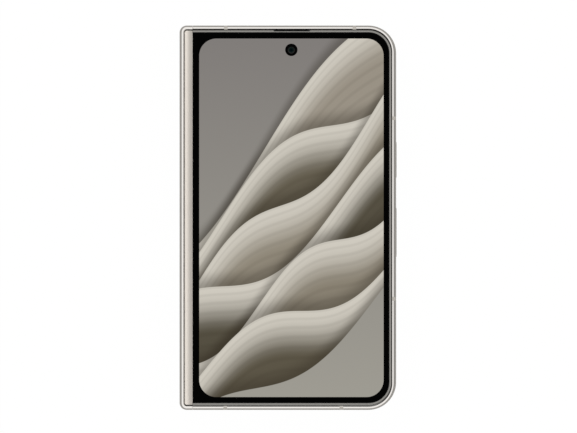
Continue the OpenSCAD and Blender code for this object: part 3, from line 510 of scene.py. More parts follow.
# Where the antenna breaks are, on the edge of the body
BREAKS = [(HINGE_X + 0.2145 * BODY_W, HALF_H), (HINGE_X + 0.807 * BODY_W, HALF_H),
          (HINGE_X + 0.212 * BODY_W, -HALF_H), (HINGE_X + 0.7475 * BODY_W, -HALF_H),
          (RIGHT_X, 0.5175 * HALF_H), (RIGHT_X, -0.4215 * HALF_H)]
EAR, EAR_SIZE = centre_mm("earpiece_mesh")
EAR_W, EAR_H = EAR_SIZE.x + 0.06, EAR_SIZE.y + 0.06


def ear_slot(inset):
    """The earpiece slot, whose ends slant."""
    w, h = EAR_W / 2 - inset, EAR_H / 2 - inset
    return [(EAR.x + x, EAR.y + y) for x, y in ((w, h), (-w, h), (-w + h, -h), (w - h, -h))]


def ear_cutter():
    """Opens the earpiece slot."""
    return cutter(ear_slot, TOP_Z - EAR_DEPTH, TOP_Z + OVER)


# %% Frames
holes = {"rear": [], "front": [ear_cutter()]}
for node in ("power_button", "volume_rocker"):
    middle, size = centre_mm(node)
    w, h = size.y - 1 + 2 * KEY_GAP, KEY_H + 2 * KEY_GAP
    key_slot = box_round(middle.y, middle.z, w, h, h / 2 - 0.01)
    holes["rear"].append(cutter(key_slot, RIGHT_X - KEY_DEPTH, RIGHT_X + OVER, "X"))
holes["rear"].append(cutter(slot(PORT.x, PORT.z, PORT_SIZE.x + 0.1, PORT_SIZE.z + 0.1), *LOWER, "Y"))
for places, r, steps, wall in ((SPEAKER_X, HOLE_R, 24, LOWER), (VENT_X, HOLE_R, 24, UPPER),
                               (MIC_HOLES_X, MIC_R, 20, LOWER)):
    holes["rear"] += [cutter(disc(x, PORT.z, r, steps), *wall, "Y") for x in places]
holes["front"] += [cutter(slot(TRAY.x, TRAY.z, TRAY_SIZE.x + 2 * KEY_GAP, TRAY_FACE_H + 2 * KEY_GAP),
                          LOWER[0], MOUTH_DEPTH - HALF_H, "Y"),
                   cutter(disc(PIN_X, TRAY.z, MIC_R, 20), *LOWER, "Y")]
frame_path = u_path(FRAME_LOW.x, RIGHT_X, HALF_H, CORNER_R)
for half in ("rear", "front"):
    face_z, inwards = HALVES[half]
    z_range = sorted((face_z - inwards * OVER, face_z + inwards * (HALF_T + OVER)))
    slots = []
    for x, y in BREAKS:
        w, h = (BREAK_W, 2 * BREAK_D) if abs(y) == HALF_H else (2 * BREAK_D, BREAK_W)
        slots.append(cutter(box_round(x, y, w, h, 0.02), *z_range))
    bm = bmesh.new()
    carry_section(bm, frame_path, frame_section, half)
    print(half, "frame has", len(slots + holes[half]), "openings")
    bar = cut(new_piece(half + "_frame_polished", bm, polished_metal), *slots, *holes[half])
    carried(bar, half + "_half", "polished_frame", half + "_frame")

# %% [markdown]
# ## Hinge rails
# Beside the spine each half is closed by a rail. Its outer edge has the same polished rounding as
# the frame, which turns round the small corners, and its face is a satin band that is crowned a
# little, so that it fades from bright to dull across its width. The two finishes are two materials on
# one section, so the polished edge is swept as before and the band is a shallow curved strip.

# %% Rails
RAIL_EDGE_R = 1.5
RAIL_T = 1.75
BAND_START = 1.93
BAND_LOW = 0.012  # the band starts this far under the face
BAND_SAG = 0.28
# The wall that closes the half beside the spine
WALL_T = 0.8
WALL_DEPTH = (0.7, 4.1)
WALL_HALF = HALF_H - 3.6
SEAM_W = (0.18, 0.45)  # the groove between the two finishes is wider on the short sides
SEAM_DEPTH = 0.06


def rail_section(place):
    """The section of a rail's polished edge."""
    seam = BAND_START - SEAM_W[0] - (SEAM_W[1] - SEAM_W[0]) * abs(place)
    inner = BAND_START - 0.01
    return [(inner, RAIL_T), (0, RAIL_T), *rounded_edge(RAIL_EDGE_R - 0.05 * abs(place)), (seam, 0),
            (seam, SEAM_DEPTH), (inner, SEAM_DEPTH)]


rail_path = u_path(RAIL_HIGH_X, RAIL_LOW_X, HALF_H, HINGE_CORNER_R)
RAIL_POINTS = len(rail_section(0))
satin_at = [int(i == RAIL_POINTS - 4) for i in range(RAIL_POINTS)]  # the flat beside the groove
for half, (face_z, inwards) in HALVES.items():
    bm = bmesh.new()
    carry_section(bm, rail_path, rail_section, half, satin_at)
    width = RAIL_HIGH_X - RAIL_LOW_X - BAND_START
    tops = [(RAIL_HIGH_X - width * t, face_z + inwards * (BAND_LOW + BAND_SAG * t ** 2.5))
            for t in [i / 16 for i in range(17)]]
    outline = tops + [(tops[end][0], face_z + inwards * RAIL_T) for end in (-1, 0)]
    loft(bm, [[(x, s * (HALF_H - BAND_START), z) for x, z in outline] for s in (-1, 1)], (1,), 1)
    wall = round_box((FRAME_LOW.x - 0.1, -WALL_HALF), (FRAME_LOW.x + WALL_T, WALL_HALF), 0.05)
    plate_into(bm, wall, *sorted(face_z + inwards * depth for depth in WALL_DEPTH), index=1)
    carried(new_piece(half + "_rail", bm, polished_metal, satin_metal), half + "_half", "satin_rail",
            half + "_hinge_rail")

# %% [markdown]
# ## Trim between metal and glass
# A thin grey lip of moulded plastic lies between the polished metal and the glass. It is long, thin
# and of one section, which is what Geometry Nodes do best: the tree turns a polyline into a curve,
# carries a rounded section along it and sets the material. Its width and height are inputs.

# %% Plastics
def plastic(name, color, roughness=0.42, grain_mm=0.25, depth_mm=0.004):
    """Moulded plastic with the fine spark-eroded texture of its mould."""
    made, tree, shader = material(name, color, Roughness=roughness, IOR=1.5)
    grain = add(tree, "TexNoise", {"Vector": place_mm(tree), "Scale": 1 / grain_mm, "Detail": 2.0})
    feed(shader, {"Normal": add(tree, "Bump", {"Height": grain, "Distance": depth_mm * MM})})
    return made


# The lip reads as a matt grey line, the breaks are polished along with the metal round them, the bezel is
# dull beside the display, and the modules are duller still
lip_plastic = plastic("moulded grey lip plastic", "#8b8984")
break_plastic = plastic("moulded warm antenna plastic", "#bfbab2", roughness=0.35)
black_plastic = plastic("moulded black bezel plastic", "#151617", roughness=0.5)
module_plastic = plastic("black module plastic", "#1d1e20", roughness=0.55)

# %% Geometry trees
def tree_with(name, build, **inputs):
    """A tree with inputs of these kinds; build adds its nodes and gives back the geometry to paint."""
    tree = bpy.data.node_groups.new(name, "GeometryNodeTree")
    for way in ("INPUT", "OUTPUT"):
        tree.interface.new_socket("Geometry", in_out=way, socket_type="NodeSocketGeometry")
    for title, kind in (inputs | {"Material": "Material"}).items():
        tree.interface.new_socket(title, in_out="INPUT", socket_type="NodeSocket" + kind)
    given = tree.nodes.new("NodeGroupInput").outputs
    real = add(tree, "RealizeInstances", [build(tree, given)])
    painted = add(tree, "SetMaterial", {"Geometry": real, "Material": given["Material"]})
    feed(tree.nodes.new("NodeGroupOutput"), [painted])
    print("tree:", name, "with", len(tree.nodes), "nodes")
    return tree


def grown(name, tree, mesh, **values):
    """Runs a tree on a mesh and gives back the plain mesh as a piece. Inputs are set by identifier."""
    piece = bpy.data.objects.new(name, mesh)
    bpy.context.collection.objects.link(piece)
    nodes = piece.modifiers.new("nodes", "NODES")
    nodes.node_group = tree
    for socket in tree.interface.items_tree:
        if socket.in_out == "INPUT" and socket.name in values:
            nodes[socket.identifier] = values[socket.name]
    return settle(piece)


def lip_nodes(tree, given):
    """Carries a rounded box along a polyline."""
    path = add(tree, "MeshToCurve", [given["Geometry"]])
    box = add(tree, "CurvePrimitiveQuadrilateral", {"Width": given["Width"], "Height": given["Depth"]})
    rounded = add(tree, "FilletCurve", {"Curve": box, "Radius": given["Rounding"], "Count": 4}, mode="POLY")
    return add(tree, "CurveToMesh", {"Curve": path, "Profile Curve": rounded, "Fill Caps": True})


# %% Lips
LIP_W = LIP_D[1] - LIP_D[0]
LIP_LOW = 0.03  # it lies this far under the face, on its step
lip_tree = tree_with("lip along a path", lip_nodes, Width="Float", Depth="Float", Rounding="Float")
inset = sum(LIP_D) / 2
for half, (face_z, inwards) in HALVES.items():
    z = face_z + inwards * (LIP_LOW + LIP_DEPTH) / 2
    points = [((x - nx * inset) * MM, (y - ny * inset) * MM, z * MM) for x, y, nx, ny in frame_path]
    mesh = bpy.data.meshes.new("path")
    mesh.from_pydata(points, [(i, i + 1) for i in range(len(points) - 1)], [])
    lip = grown(half + "_lip", lip_tree, mesh, Width=LIP_W * MM, Depth=(LIP_DEPTH - LIP_LOW) * MM,
                Rounding=0.1 * MM, Material=lip_plastic)
    lip = cut(lip, ear_cutter()) if half == "front" else shade(lip)
    carried(lip, half + "_half", "antenna_plastic")

# %% [markdown]
# ## Cover display
# The cover glass is black round its edge, and the display lights up the rest. On the real phone the
# picture lies under the glass, but so close that it can be one surface: a black base that gives off
# the picture's light, under a clear gloss. The picture here is a generic one, layers of pale cloth or
# sand with dark hollows in front of a grey sky, built from sine curves.

# %% The picture
SCREEN_LOW = (HINGE_X + 7.25, -65.11)
SCREEN_HIGH = (HINGE_X + 74.2, 65.04)
SCREEN_R = 6.2
# Each fold: its height in the middle, its rise per mm, wave height, wave length, phase and tint
FOLDS = [(34, 1.10, 8, 92, 0.6, "#978f82"), (20, 0.85, 9, 80, 1.9, "#5d5646"),
         (7, 1.00, 7, 66, 3.4, "#8c8475"), (-8, 0.72, 9, 84, 4.9, "#4c4637"),
         (-23, 0.80, 6, 58, 1.1, "#857d6e"), (-37, 0.62, 7, 72, 2.7, "#544d3d"),
         (-53, 0.75, 8, 88, 4.0, None)]  # the last is the sky again
CREST = srgb("#cfcabf")
SHADE = srgb("#342d22")
SHADE_FROM = -7  # millimetres under the edge of the fold in front
CREST_W = (1, 17)
LINE_POWER, LINE_TURN = 0.8, 3.4  # the lines lie further apart down the fold
SOFT_EDGE = 0.08


def picture(tree):
    """The colour of the lit display."""
    x, y = add(tree, "SeparateXYZ", [place_mm(tree)], None).outputs[:2]
    down = add(tree, "MapRange", [y, SCREEN_HIGH[1], SCREEN_LOW[1]])
    color = sky = add(tree, "Mix", {0: down, 6: srgb("#807c79"), 7: srgb("#9e9b92")}, 2, data_type="RGBA")
    for level, rise, height, length, phase, tint in FOLDS:
        turn = add(tree, "Math", [x, math.tau / length, phase], operation="MULTIPLY_ADD")
        wave = add(tree, "Math", [turn], operation="SINE")
        slope = add(tree, "Math", [x, rise, level], operation="MULTIPLY_ADD")
        edge = add(tree, "Math", [wave, height, slope], operation="MULTIPLY_ADD")
        under = add(tree, "Math", [edge, y], operation="SUBTRACT")
        # The fold behind darkens towards the edge of the one in front
        gap = add(tree, "MapRange", [under, SHADE_FROM, 0, 0, 0.5], interpolation_type="SMOOTHSTEP")
        color = add(tree, "Mix", {0: gap, 6: color, 7: SHADE}, 2, data_type="RGBA")
        body = sky
        if tint:
            crest = add(tree, "MapRange", [under, *CREST_W, 0, 0.97], interpolation_type="SMOOTHSTEP")
            body = add(tree, "Mix", {0: crest, 6: CREST, 7: srgb(tint)}, 2, data_type="RGBA")
            # Fine lines along the crest, as in drawn cloth
            line = add(tree, "Math", [under, 0.0], operation="MAXIMUM")
            for operation, value in (("POWER", LINE_POWER), ("MULTIPLY", LINE_TURN), ("SINE", 0)):
                line = add(tree, "Math", [line, value], operation=operation)
            line = add(tree, "MapRange", [line, 0, 1, 0, 0.1])
            body = add(tree, "Mix", {0: line, 6: body, 7: SHADE}, 2, data_type="RGBA")
        inside = add(tree, "MapRange", [under, -SOFT_EDGE, SOFT_EDGE])
        color = add(tree, "Mix", {0: inside, 6: color, 7: body}, 2, data_type="RGBA")
    return color


# Nothing shows of the black print but what the glass over it mirrors
border_glass = material("black printed cover glass", "#010101", Roughness=0.04, IOR=1.42)[0]
lit_display, tree, shader = material("lit display under glass", "#010101", Roughness=0.04, IOR=1.42)
feed(shader, {"Emission Color": picture(tree), "Emission Strength": 1.0})

# %% The glass in two pieces
PUNCH = (centre_mm("cover_camera")[0].x, HALF_H - 8.9)
PUNCH_R = 2.25
GLASS_EDGE = 0.12
TUCK = 0.03  # the lit plate reaches a hair under the border, so that no seam shows between the two
glass = round_box(GLASS_LOW, GLASS_HIGH, *GLASS_RADII)
border = plate("cover_glass_border", glass, GLASS_LOW.z, GLASS_HIGH.z, border_glass, high_r=GLASS_EDGE,
               holes=[round_box(SCREEN_LOW, SCREEN_HIGH, SCREEN_R)])
carried(border, "front_half", "cover_glass", "cover_glass")
screen = round_box([v - TUCK for v in SCREEN_LOW], [v + TUCK for v in SCREEN_HIGH], SCREEN_R + TUCK)
lit = plate("cover_display_picture", screen, GLASS_LOW.z + TUCK / 10, GLASS_HIGH.z - TUCK / 10,
            lit_display, holes=[disc(*PUNCH, PUNCH_R)])
carried(lit, "front_half", "display_panel")
print("display", [round(b - a, 2) for a, b in zip(SCREEN_LOW, SCREEN_HIGH)], "mm")

# %% [markdown]
# ## Round parts
# Lenses, rings, the flash and the microphone cloths are turned shapes: a profile of radius and
# height spun about an axis along Z. Spinning gives clean circles and exact steps, where booleans of
# cylinders would leave ragged meshes.

# %% Turned shapes
def turned(bm, cx, cy, profile, index=0, steps=48):
    """Spins a profile of (radius, z); a radius of 0 closes the shape to a point."""
    rings = [[bm.verts.new((x, y, z)) for x, y in (circle(cx, cy, r, steps) if r else [(cx, cy)])]
             for r, z in profile]
    for one, two in zip(rings, rings[1:]):
        for i in range(steps):
            k = (i + 1) % steps
            corners = [one[i % len(one)], one[k % len(one)], two[k % len(two)], two[i % len(two)]]
            bm.faces.new(list(dict.fromkeys(corners))).material_index = index


def dome(r, z_edge, rise, steps=8):
    """Profile of a dome from its rim to its top."""
    turns = [math.pi / 2 * i / steps for i in range(steps)]
    return [(r * math.cos(t), z_edge + rise * math.sin(t)) for t in turns] + [(0, z_edge + rise)]


def small_lens(name, body, node, x, y, profile, z, rise, glass):
    """A small camera: a turned barrel whose profile ends at the dome of its lens."""
    bm = bmesh.new()
    turned(bm, x, y, [(r, z + w) for r, w in profile])
    turned(bm, x, y, dome(profile[-1][0], z + profile[-1][1], rise), 1)
    carried(new_piece(name, bm, border_glass, glass, angle=30), body, "camera_black", *node)


# %% [markdown]
# ## Coated lenses
# A camera lens looks black with a coloured glint. The glint comes from thin coatings and stays even
# where the lens mirrors a white tent. A dark base with a tinted reflection gives it, and the fine
# ribs of the barrel round the lens do the rest. Clear glass over a dark hole would look the same and
# take far longer to render.

# %% Lens materials
def lens_glass(name, glint):
    """Dark coated glass: its reflection is tinted in the middle and dark grey at the rim."""
    made, tree, shader = material(name, "#030405", Roughness=0.03, IOR=1.6)
    facing = add(tree, "LayerWeight", {"Blend": 0.35}, "Facing")
    deep = add(tree, "TexNoise", {"Vector": place_mm(tree), "Scale": 0.9})
    for title, share, one, two in (("Specular Tint", facing, glint, "#20242c"),
                                   ("Base Color", deep, "#020304", "#0a1016")):
        feed(shader, {title: add(tree, "Mix", {0: share, 6: srgb(one), 7: srgb(two)}, 2, data_type="RGBA")})
    return made


green_lens = lens_glass("green coated lens", "#3f6d58")
blue_lens = lens_glass("blue coated lens", "#4a5f9a")
violet_lens = lens_glass("violet coated lens", "#77588c")
# The barrel swallows the light beside the lens
barrel_black = plastic("ribbed black barrel", "#0d0e10", roughness=0.5, grain_mm=0.08, depth_mm=0.006)

# %% Camera under the cover glass
# Each profile is a list of radius and depth from the glass's outer face
GLASS_T = GLASS_LOW.z - GLASS_HIGH.z
small_lens("cover_camera_lens", "front_half", [], *PUNCH,
           [(0, GLASS_T), (PUNCH_R, GLASS_T), (PUNCH_R, -0.01), (1.36, -0.01), (1.30, -0.10), (1.12, -0.12),
            (1.06, -0.26), (0.97, -0.30)], GLASS_HIGH.z, 0.17, green_lens)

# %% [markdown]
# ## Rows of one shape
# The wires of a cloth and the contacts of a plug are one shape again and again along a line. Geometry
# Nodes place an object on the points of a line, and the count and step are inputs. Copies made by
# hand would be as many objects to keep in step.

# %% A tree that repeats a shape along a line
def row_nodes(tree, given):
    """Places an object on each point of a line."""
    row = add(tree, "MeshLine", {"Count": given["Count"], "Start Location": given["Start"],
                                 "Offset": given["Step"]})
    shape = add(tree, "ObjectInfo", {"Object": given["Shape"], "As Instance": True}, "Geometry")
    return add(tree, "InstanceOnPoints", {"Points": row, "Instance": shape})


row_tree = tree_with("row of one shape", row_nodes, Shape="Object", Count="Int", Start="Vector",
                     Step="Vector")


def repeated(name, bm, finish, count, start, step):
    """One shape in millimetres, repeated along X from a start by a step, as one piece."""
    shape = new_piece(name + " shape", bm, finish)
    piece = grown(name, row_tree, bpy.data.meshes.new(name), Shape=shape, Count=count, Material=finish,
                  Start=[v * MM for v in start], Step=[step * MM, 0, 0])
    bpy.data.objects.remove(shape)
    return shade(piece)


# %% [markdown]
# ## Earpiece
# The slot over the earpiece holds a woven steel cloth, so fine that it looks black. Two sets of thin
# wires cross over a dark backing, and the slot in the frame hides their ends.

# %% Woven cloth
WIRE_STEP = 0.17
WIRE_R = 0.03
WIRE_LEAN = 0.35
CLOTH_IN = 0.8  # the wires keep this far from the slot's ends
CLOTH_Z = EAR.z + EAR_SIZE.z / 2 - 0.08
# Oxidised wire keeps only a dull glint on its round top
wire_steel = metal("blackened steel wire", "#1d1c1b", 0.45, spread=0.05, grain_mm=0.1)
backing = plate("earpiece_backing", ear_slot, EAR.z - EAR_SIZE.z / 2, CLOTH_Z - 0.05, module_plastic)
carried(backing, "front_half", "module_black", "earpiece_mesh")
count = round((EAR_W - 2 * CLOTH_IN) / WIRE_STEP)
for side, lean in (("left", -WIRE_LEAN), ("right", WIRE_LEAN)):
    bm = bmesh.new()
    loft(bm, [[(s * lean + x, s * EAR_H / 2, z) for x, z in circle(0, 0, WIRE_R, 6)] for s in (-1, 1)])
    wires = repeated("earpiece_wires_" + side, bm, wire_steel, count,
                     (EAR.x - EAR_W / 2 + CLOTH_IN, EAR.y, CLOTH_Z + WIRE_R * lean), WIRE_STEP)
    carried(wires, "front_half", "module_black")
print("cloth of", 2 * count, "wires")

# %% [markdown]
# ## Antenna breaks
# A metal frame would smother the radio, so short pieces of plastic break it up. They are moulded in
# and polished with the metal, so each has the frame's own section and is a hair lower.

# %% Breaks
BREAK_LOW = 0.012


def break_section(place):
    """The frame's section as far in as the breaks reach."""
    edge = [(d + BREAK_LOW, w + BREAK_LOW) for d, w in crown(place) if d < BREAK_D]
    return [(FOOT + BREAK_LOW, HALF_T), (BREAK_LOW, HALF_T - FOOT), *edge, (BREAK_D, edge[-1][1] - 0.02),
            (BREAK_D, HALF_T)]


for half in HALVES:
    bm = bmesh.new()
    for x, y in BREAKS:
        nx, ny = (0, math.copysign(1, y)) if abs(y) == HALF_H else (1, 0)
        w = BREAK_W / 2 - 0.01
        path = [(x + s * w * abs(ny), y + s * w * nx, nx, ny) for s in (-1, 1)]
        carry_section(bm, path, break_section, half)
    carried(new_piece(half + "_breaks", bm, break_plastic), half + "_half", "antenna_plastic",
            half + "_antenna_breaks")

# %% [markdown]
# ## Keys
# The power button and the volume rocker are pills of satin aluminium with a softly rounded face, in
# slots with an even gap. The power button is also a fingerprint reader, so its face is finer. Each
# has the flange that holds it in the wall and the plungers that reach its switches.

# %% Keys
PLUNGER_R = 0.8
FLANGE_T = 0.3
# The reader's face is finer and a shade darker than the keys', and spreads its highlight wider
reader_metal = metal("fine satin fingerprint key", "#c6beb3", 0.3, spread=0.02, grain_mm=0.06, depth_mm=0.001)
for node, finish, depth, plungers in (("power_button", reader_metal, 1.45, [0]),
                                      ("volume_rocker", key_metal, 1.7, [-6, 6])):
    low, high = box_mm(node)
    middle = (low + high) / 2
    length = high.y - low.y - 1
    back = RIGHT_X - depth
    bm = bmesh.new()
    plate_into(bm, slot(middle.y, middle.z, length, KEY_H), back, high.x, high_r=0.3)
    plate_into(bm, slot(middle.y, middle.z, length + 1, KEY_H + 0.4), back - FLANGE_T, back)
    for y in plungers:
        plate_into(bm, disc(middle.y + y, middle.z, PLUNGER_R, 24), low.x, back - FLANGE_T)
    carried(new_piece(node + "_cap", laid(bm, "X"), finish), node, "key_metal", node)

# %% [markdown]
# ## SIM tray
# The tray's face closes its mouth in the lower side, and behind it a thin plate carries the card on
# a ledge. Seat and ledge are cut into one plate, as a mill would do it.

# %% Tray
TRAY_T = 0.7
FACE_T = 1.1
CARD = (8.9, 12.4)
LEDGE = (1.7, 1.4)  # how much smaller the opening under the card is
SEAT_DEPTH = 0.3
low, high = box_mm("sim_tray")
bm = bmesh.new()
plate_into(bm, slot(TRAY.x, TRAY.z, TRAY_SIZE.x, TRAY_SIZE.z), low.y, low.y + FACE_T, low_r=0.15)
laid(bm, "Y")
half_w = TRAY_SIZE.x / 2 - 1.1
card_plate = round_box((TRAY.x - half_w, low.y + FACE_T - 0.05), (TRAY.x + half_w, high.y),
                       0.8, 0.8, 0.05, 0.05)
plate_into(bm, card_plate, TRAY.z - TRAY_T / 2, TRAY.z + TRAY_T / 2, low_r=0.06, high_r=0.06)
seat_y = high.y - 1.2 - CARD[1] / 2
seats = ((CARD[0] - LEDGE[0], CARD[1] - LEDGE[1], TRAY.z - 1), (*CARD, TRAY.z - TRAY_T / 2 + SEAT_DEPTH))
tray = cut(new_piece("sim_tray_plate", bm, key_metal),
           *[cutter(box_round(TRAY.x, seat_y, w, l, 0.9), z, TRAY.z + 2) for w, l, z in seats])
carried(tray, "sim_tray", "key_metal", "sim_tray")

# %% [markdown]
# ## Charging port
# Inside the oval mouth a steel shell holds a black tongue with gold contacts on both faces. Twelve
# contacts on each face stand half a millimetre apart, which is a row again.

# %% Port
PORT_WALL = 0.3
TONGUE_T = 0.7
TONGUE_IN = 1.2  # how far the tongue keeps back from the mouth
CONTACT_W, CONTACT_L, CONTACT_STEP = 0.26, 3.6, 0.5
# Drawn steel has a cool, clear shine; the gold stands out of the dark mouth
shell_steel = metal("drawn steel port shell", "#b9bbbd", 0.25, spread=0.06)
gold = metal("gold plated contact", "#d9b36a", 0.22, spread=0.05)
low, high = box_mm("usb_c_port")
inner_w, inner_h = PORT_SIZE.x - 2 * PORT_WALL, PORT_SIZE.z - 2 * PORT_WALL
bm = bmesh.new()
plate_into(bm, slot(PORT.x, PORT.z, PORT_SIZE.x, PORT_SIZE.z), low.y, high.y, low_r=0.12,
           holes=[slot(PORT.x, PORT.z, inner_w, inner_h)])
plate_into(bm, slot(PORT.x, PORT.z, inner_w + 0.1, inner_h + 0.1), high.y - 0.5, high.y - 0.1, index=1)
plate_into(bm, box_round(PORT.x, PORT.z, 0.8 * inner_w, TONGUE_T, 0.12), low.y + TONGUE_IN, high.y - 0.5,
           low_r=0.1, index=1)
port = new_piece("charging_port", laid(bm, "Y"), shell_steel, black_plastic)
carried(port, "rear_half", "machined_steel", "usb_c_port")
for side, name in ((-1, "port_contacts_lower"), (1, "port_contacts_upper")):
    bm = bmesh.new()
    plate_into(bm, box_round(0, CONTACT_L / 2, CONTACT_W, CONTACT_L, 0.05), -0.02, 0.02)
    start = (PORT.x - 5.5 * CONTACT_STEP, low.y + TONGUE_IN + 0.3, PORT.z + side * (TONGUE_T / 2 + 0.005))
    carried(repeated(name, bm, gold, 12, start, CONTACT_STEP), "rear_half", "copper")

# %% [markdown]
# ## Cloth behind the sound holes
# Behind each row of sound holes lies a strip of fine black cloth that keeps dust out. From outside
# it gives the holes a dark, slightly textured floor instead of a view into the speaker.

# %% Dust cloth
dust_cloth, tree, shader = material("black dust cloth", "#0b0b0c", Roughness=0.8)
# Two sets of fine waves at right angles raise its threads, 0.07 mm apart
where = place_mm(tree)
threads = [add(tree, "TexWave", {"Vector": where, "Scale": 4.5}, 1, bands_direction=axis) for axis in "XZ"]
threads = add(tree, "Math", threads, operation="ADD")
feed(shader, {"Normal": add(tree, "Bump", {"Height": threads, "Distance": 0.02 * MM})})
CLOTH_T = 0.2
for name, places, side in (("speaker_cloth", SPEAKER_X, -1), ("vent_cloth", VENT_X, 1)):
    y = HALF_H - RIM_W + 0.7
    bm = bmesh.new()
    plate_into(bm, round_box((places[0] - 1, PORT.z - 0.8), (places[-1] + 1, PORT.z + 0.8), 0.3),
               *sorted((side * y, side * (y + CLOTH_T))))
    carried(new_piece(name, laid(bm, "Y"), dust_cloth), "rear_half", "module_black")

# %% [markdown]
# ## Back glass
# The back is a pane with an etched, silky surface in a pale stone colour. Etching scatters the
# reflection, so it is rough with a very fine grain, under a faint clear coat from the anti-finger
# layer.

# %% Back glass
etched, tree, shader = material("etched pale back glass", "#d9d3c8", IOR=1.5, Coat_Weight=0.15,
                                Coat_Roughness=0.25)
# The grain of the etching is 0.07 mm, and it also shifts the colour a trace
grain = add(tree, "TexNoise", {"Vector": place_mm(tree), "Scale": 14.0, "Detail": 2.0})
stone = add(tree, "Mix", {0: grain, 6: srgb("#d6d0c5"), 7: srgb("#dcd6cb")}, 2, data_type="RGBA")
feed(shader, {"Base Color": stone, "Roughness": add(tree, "MapRange", [grain, 0, 1, 0.36, 0.46]),
              "Normal": add(tree, "Bump", {"Height": grain, "Distance": 0.002 * MM})})
REAR_LOW, REAR_HIGH = box_mm("rear_glass")
BAR, BAR_SIZE = centre_mm("camera_bar")
BAR_FLANGE = 0.9
BAR_GAP = 0.05
bar_shape = slot(BAR.x, BAR.y, BAR_SIZE.x - 2 * BAR_FLANGE, BAR_SIZE.y - 2 * BAR_FLANGE)
pane = plate("back_glass_pane", round_box(REAR_LOW, REAR_HIGH, *GLASS_RADII), REAR_LOW.z, REAR_HIGH.z, etched,
             low_r=GLASS_EDGE, holes=[lambda inset: bar_shape(inset - BAR_GAP)])
carried(pane, "rear_half", "rear_glass", "rear_glass")

# %% [markdown]
# ## Camera bar
# The bar is a polished pill that stands proud of the back. Its rounded edge is the same quarter
# circle as on the frame, only smaller. It holds the black window with three lenses, the flash and a
# tiny microphone hole.

# %% Bar and window
WINDOW, WINDOW_SIZE = centre_mm("camera_window")
FLASH, FLASH_SIZE = centre_mm("camera_flash")
FLASH_R = FLASH_SIZE.x / 2
MIC_X = FLASH.x + 2 * FLASH_R
MIC_FLOOR = (0.6, 0.7)  # the cloth at the bottom of the microphone's hole
window_shape = slot(WINDOW.x, WINDOW.y, WINDOW_SIZE.x + 2 * BAR_GAP, WINDOW_SIZE.y + 2 * BAR_GAP)
bm = bmesh.new()
plate_into(bm, bar_shape, BAR.z - BAR_SIZE.z / 2, REAR_LOW.z + 0.6, low_r=0.8, hole_r=0.08,
           holes=[window_shape, disc(FLASH.x, FLASH.y, FLASH_R + 0.1), disc(MIC_X, FLASH.y, MIC_R, 24)])
floor_r = MIC_R + 0.1
turned(bm, MIC_X, FLASH.y, [(0, MIC_FLOOR[0] + 0.02), (floor_r, MIC_FLOOR[0]), (floor_r, MIC_FLOOR[1]),
                            (0, MIC_FLOOR[1])], 1, 24)
bar = new_piece("camera_bar_polished", bm, polished_metal, dust_cloth)
carried(bar, "rear_half", "polished_frame", "camera_bar")
# Each camera: the radius of its barrel and the glass of its lens
LENSES = {"main_camera": (3.2, green_lens), "ultrawide_camera": (2.9, blue_lens),
          "telephoto_camera": (2.9, violet_lens)}
WINDOW_FACE = WINDOW.z - WINDOW_SIZE.z / 2
window = plate("camera_window_glass", slot(WINDOW.x, WINDOW.y, WINDOW_SIZE.x, WINDOW_SIZE.y), WINDOW_FACE,
               WINDOW.z + WINDOW_SIZE.z / 2, border_glass, low_r=0.06,
               holes=[disc(centre_mm(node)[0].x, WINDOW.y, r) for node, (r, glass) in LENSES.items()])
carried(window, "rear_half", "camera_black", "camera_window")

# %% Lenses
RING_W = 0.22  # the polished ring at the mouth of each barrel
RIBS = 7
RIB_IN, RIB_DOWN = 0.11, 0.13
BARREL_L = 1.2
ring_metal = metal("dark polished lens ring", "#77736d", 0.15, spread=0.04)
for node, (r, glass) in LENSES.items():
    place, size = centre_mm(node)
    ribs = [(r - RING_W - 0.08, WINDOW_FACE + 0.12)]
    bm = bmesh.new()
    turned(bm, place.x, WINDOW.y, [(0, WINDOW_FACE + BARREL_L), (r, WINDOW_FACE + BARREL_L),
                                   (r, WINDOW_FACE + 0.02), (r - RING_W, WINDOW_FACE + 0.02), ribs[0]])
    for i in range(RIBS):
        x, z = ribs[-1]
        ribs += [(x, z + RIB_DOWN), (x - RIB_IN, z + RIB_DOWN)]
    turned(bm, place.x, WINDOW.y, ribs, 1)
    turned(bm, place.x, WINDOW.y, dome(*ribs[-1], -0.45, 10), 2)
    # The block behind the barrel
    plate_into(bm, box_round(place.x, place.y, size.x, size.y, 0.4), REAR_LOW.z + 1.1, place.z + size.z / 2,
               low_r=0.15, high_r=0.15, index=1)
    lens = new_piece(node + "_lens", bm, ring_metal, barrel_black, glass, angle=30)
    carried(lens, "rear_half", "camera_black", node)

# %% Flash
RIDGES = 9
RIDGE_STEP = 0.2
RIDGE_DEPTH = 0.12
# Clear plastic over yellow phosphor: a warm spot, in grains of 0.4 mm, under a glossy face
flash_lens, tree, shader = material("ribbed flash lens", "#e9dfbd", Roughness=0.16, IOR=1.5, Coat_Weight=0.6)
cells = add(tree, "TexVoronoi", {"Vector": place_mm(tree), "Scale": 2.6})
amber = add(tree, "Mix", {0: cells, 6: srgb("#f0e08f"), 7: srgb("#f1ead2")}, 2, data_type="RGBA")
feed(shader, {"Base Color": amber})
face, back = FLASH.z - FLASH_SIZE.z / 2, FLASH.z + FLASH_SIZE.z / 2
bm = bmesh.new()
ridges = [(0, face + 0.8), (FLASH_R, face + 0.8), (FLASH_R, face + 0.03), (FLASH_R - 0.05, face)]
for i in range(RIDGES):
    r = FLASH_R - 0.15 - RIDGE_STEP * i
    ridges += [(r, face), (r - 0.04, face + RIDGE_DEPTH)]
turned(bm, FLASH.x, FLASH.y, ridges + [(0, face + 0.02)])
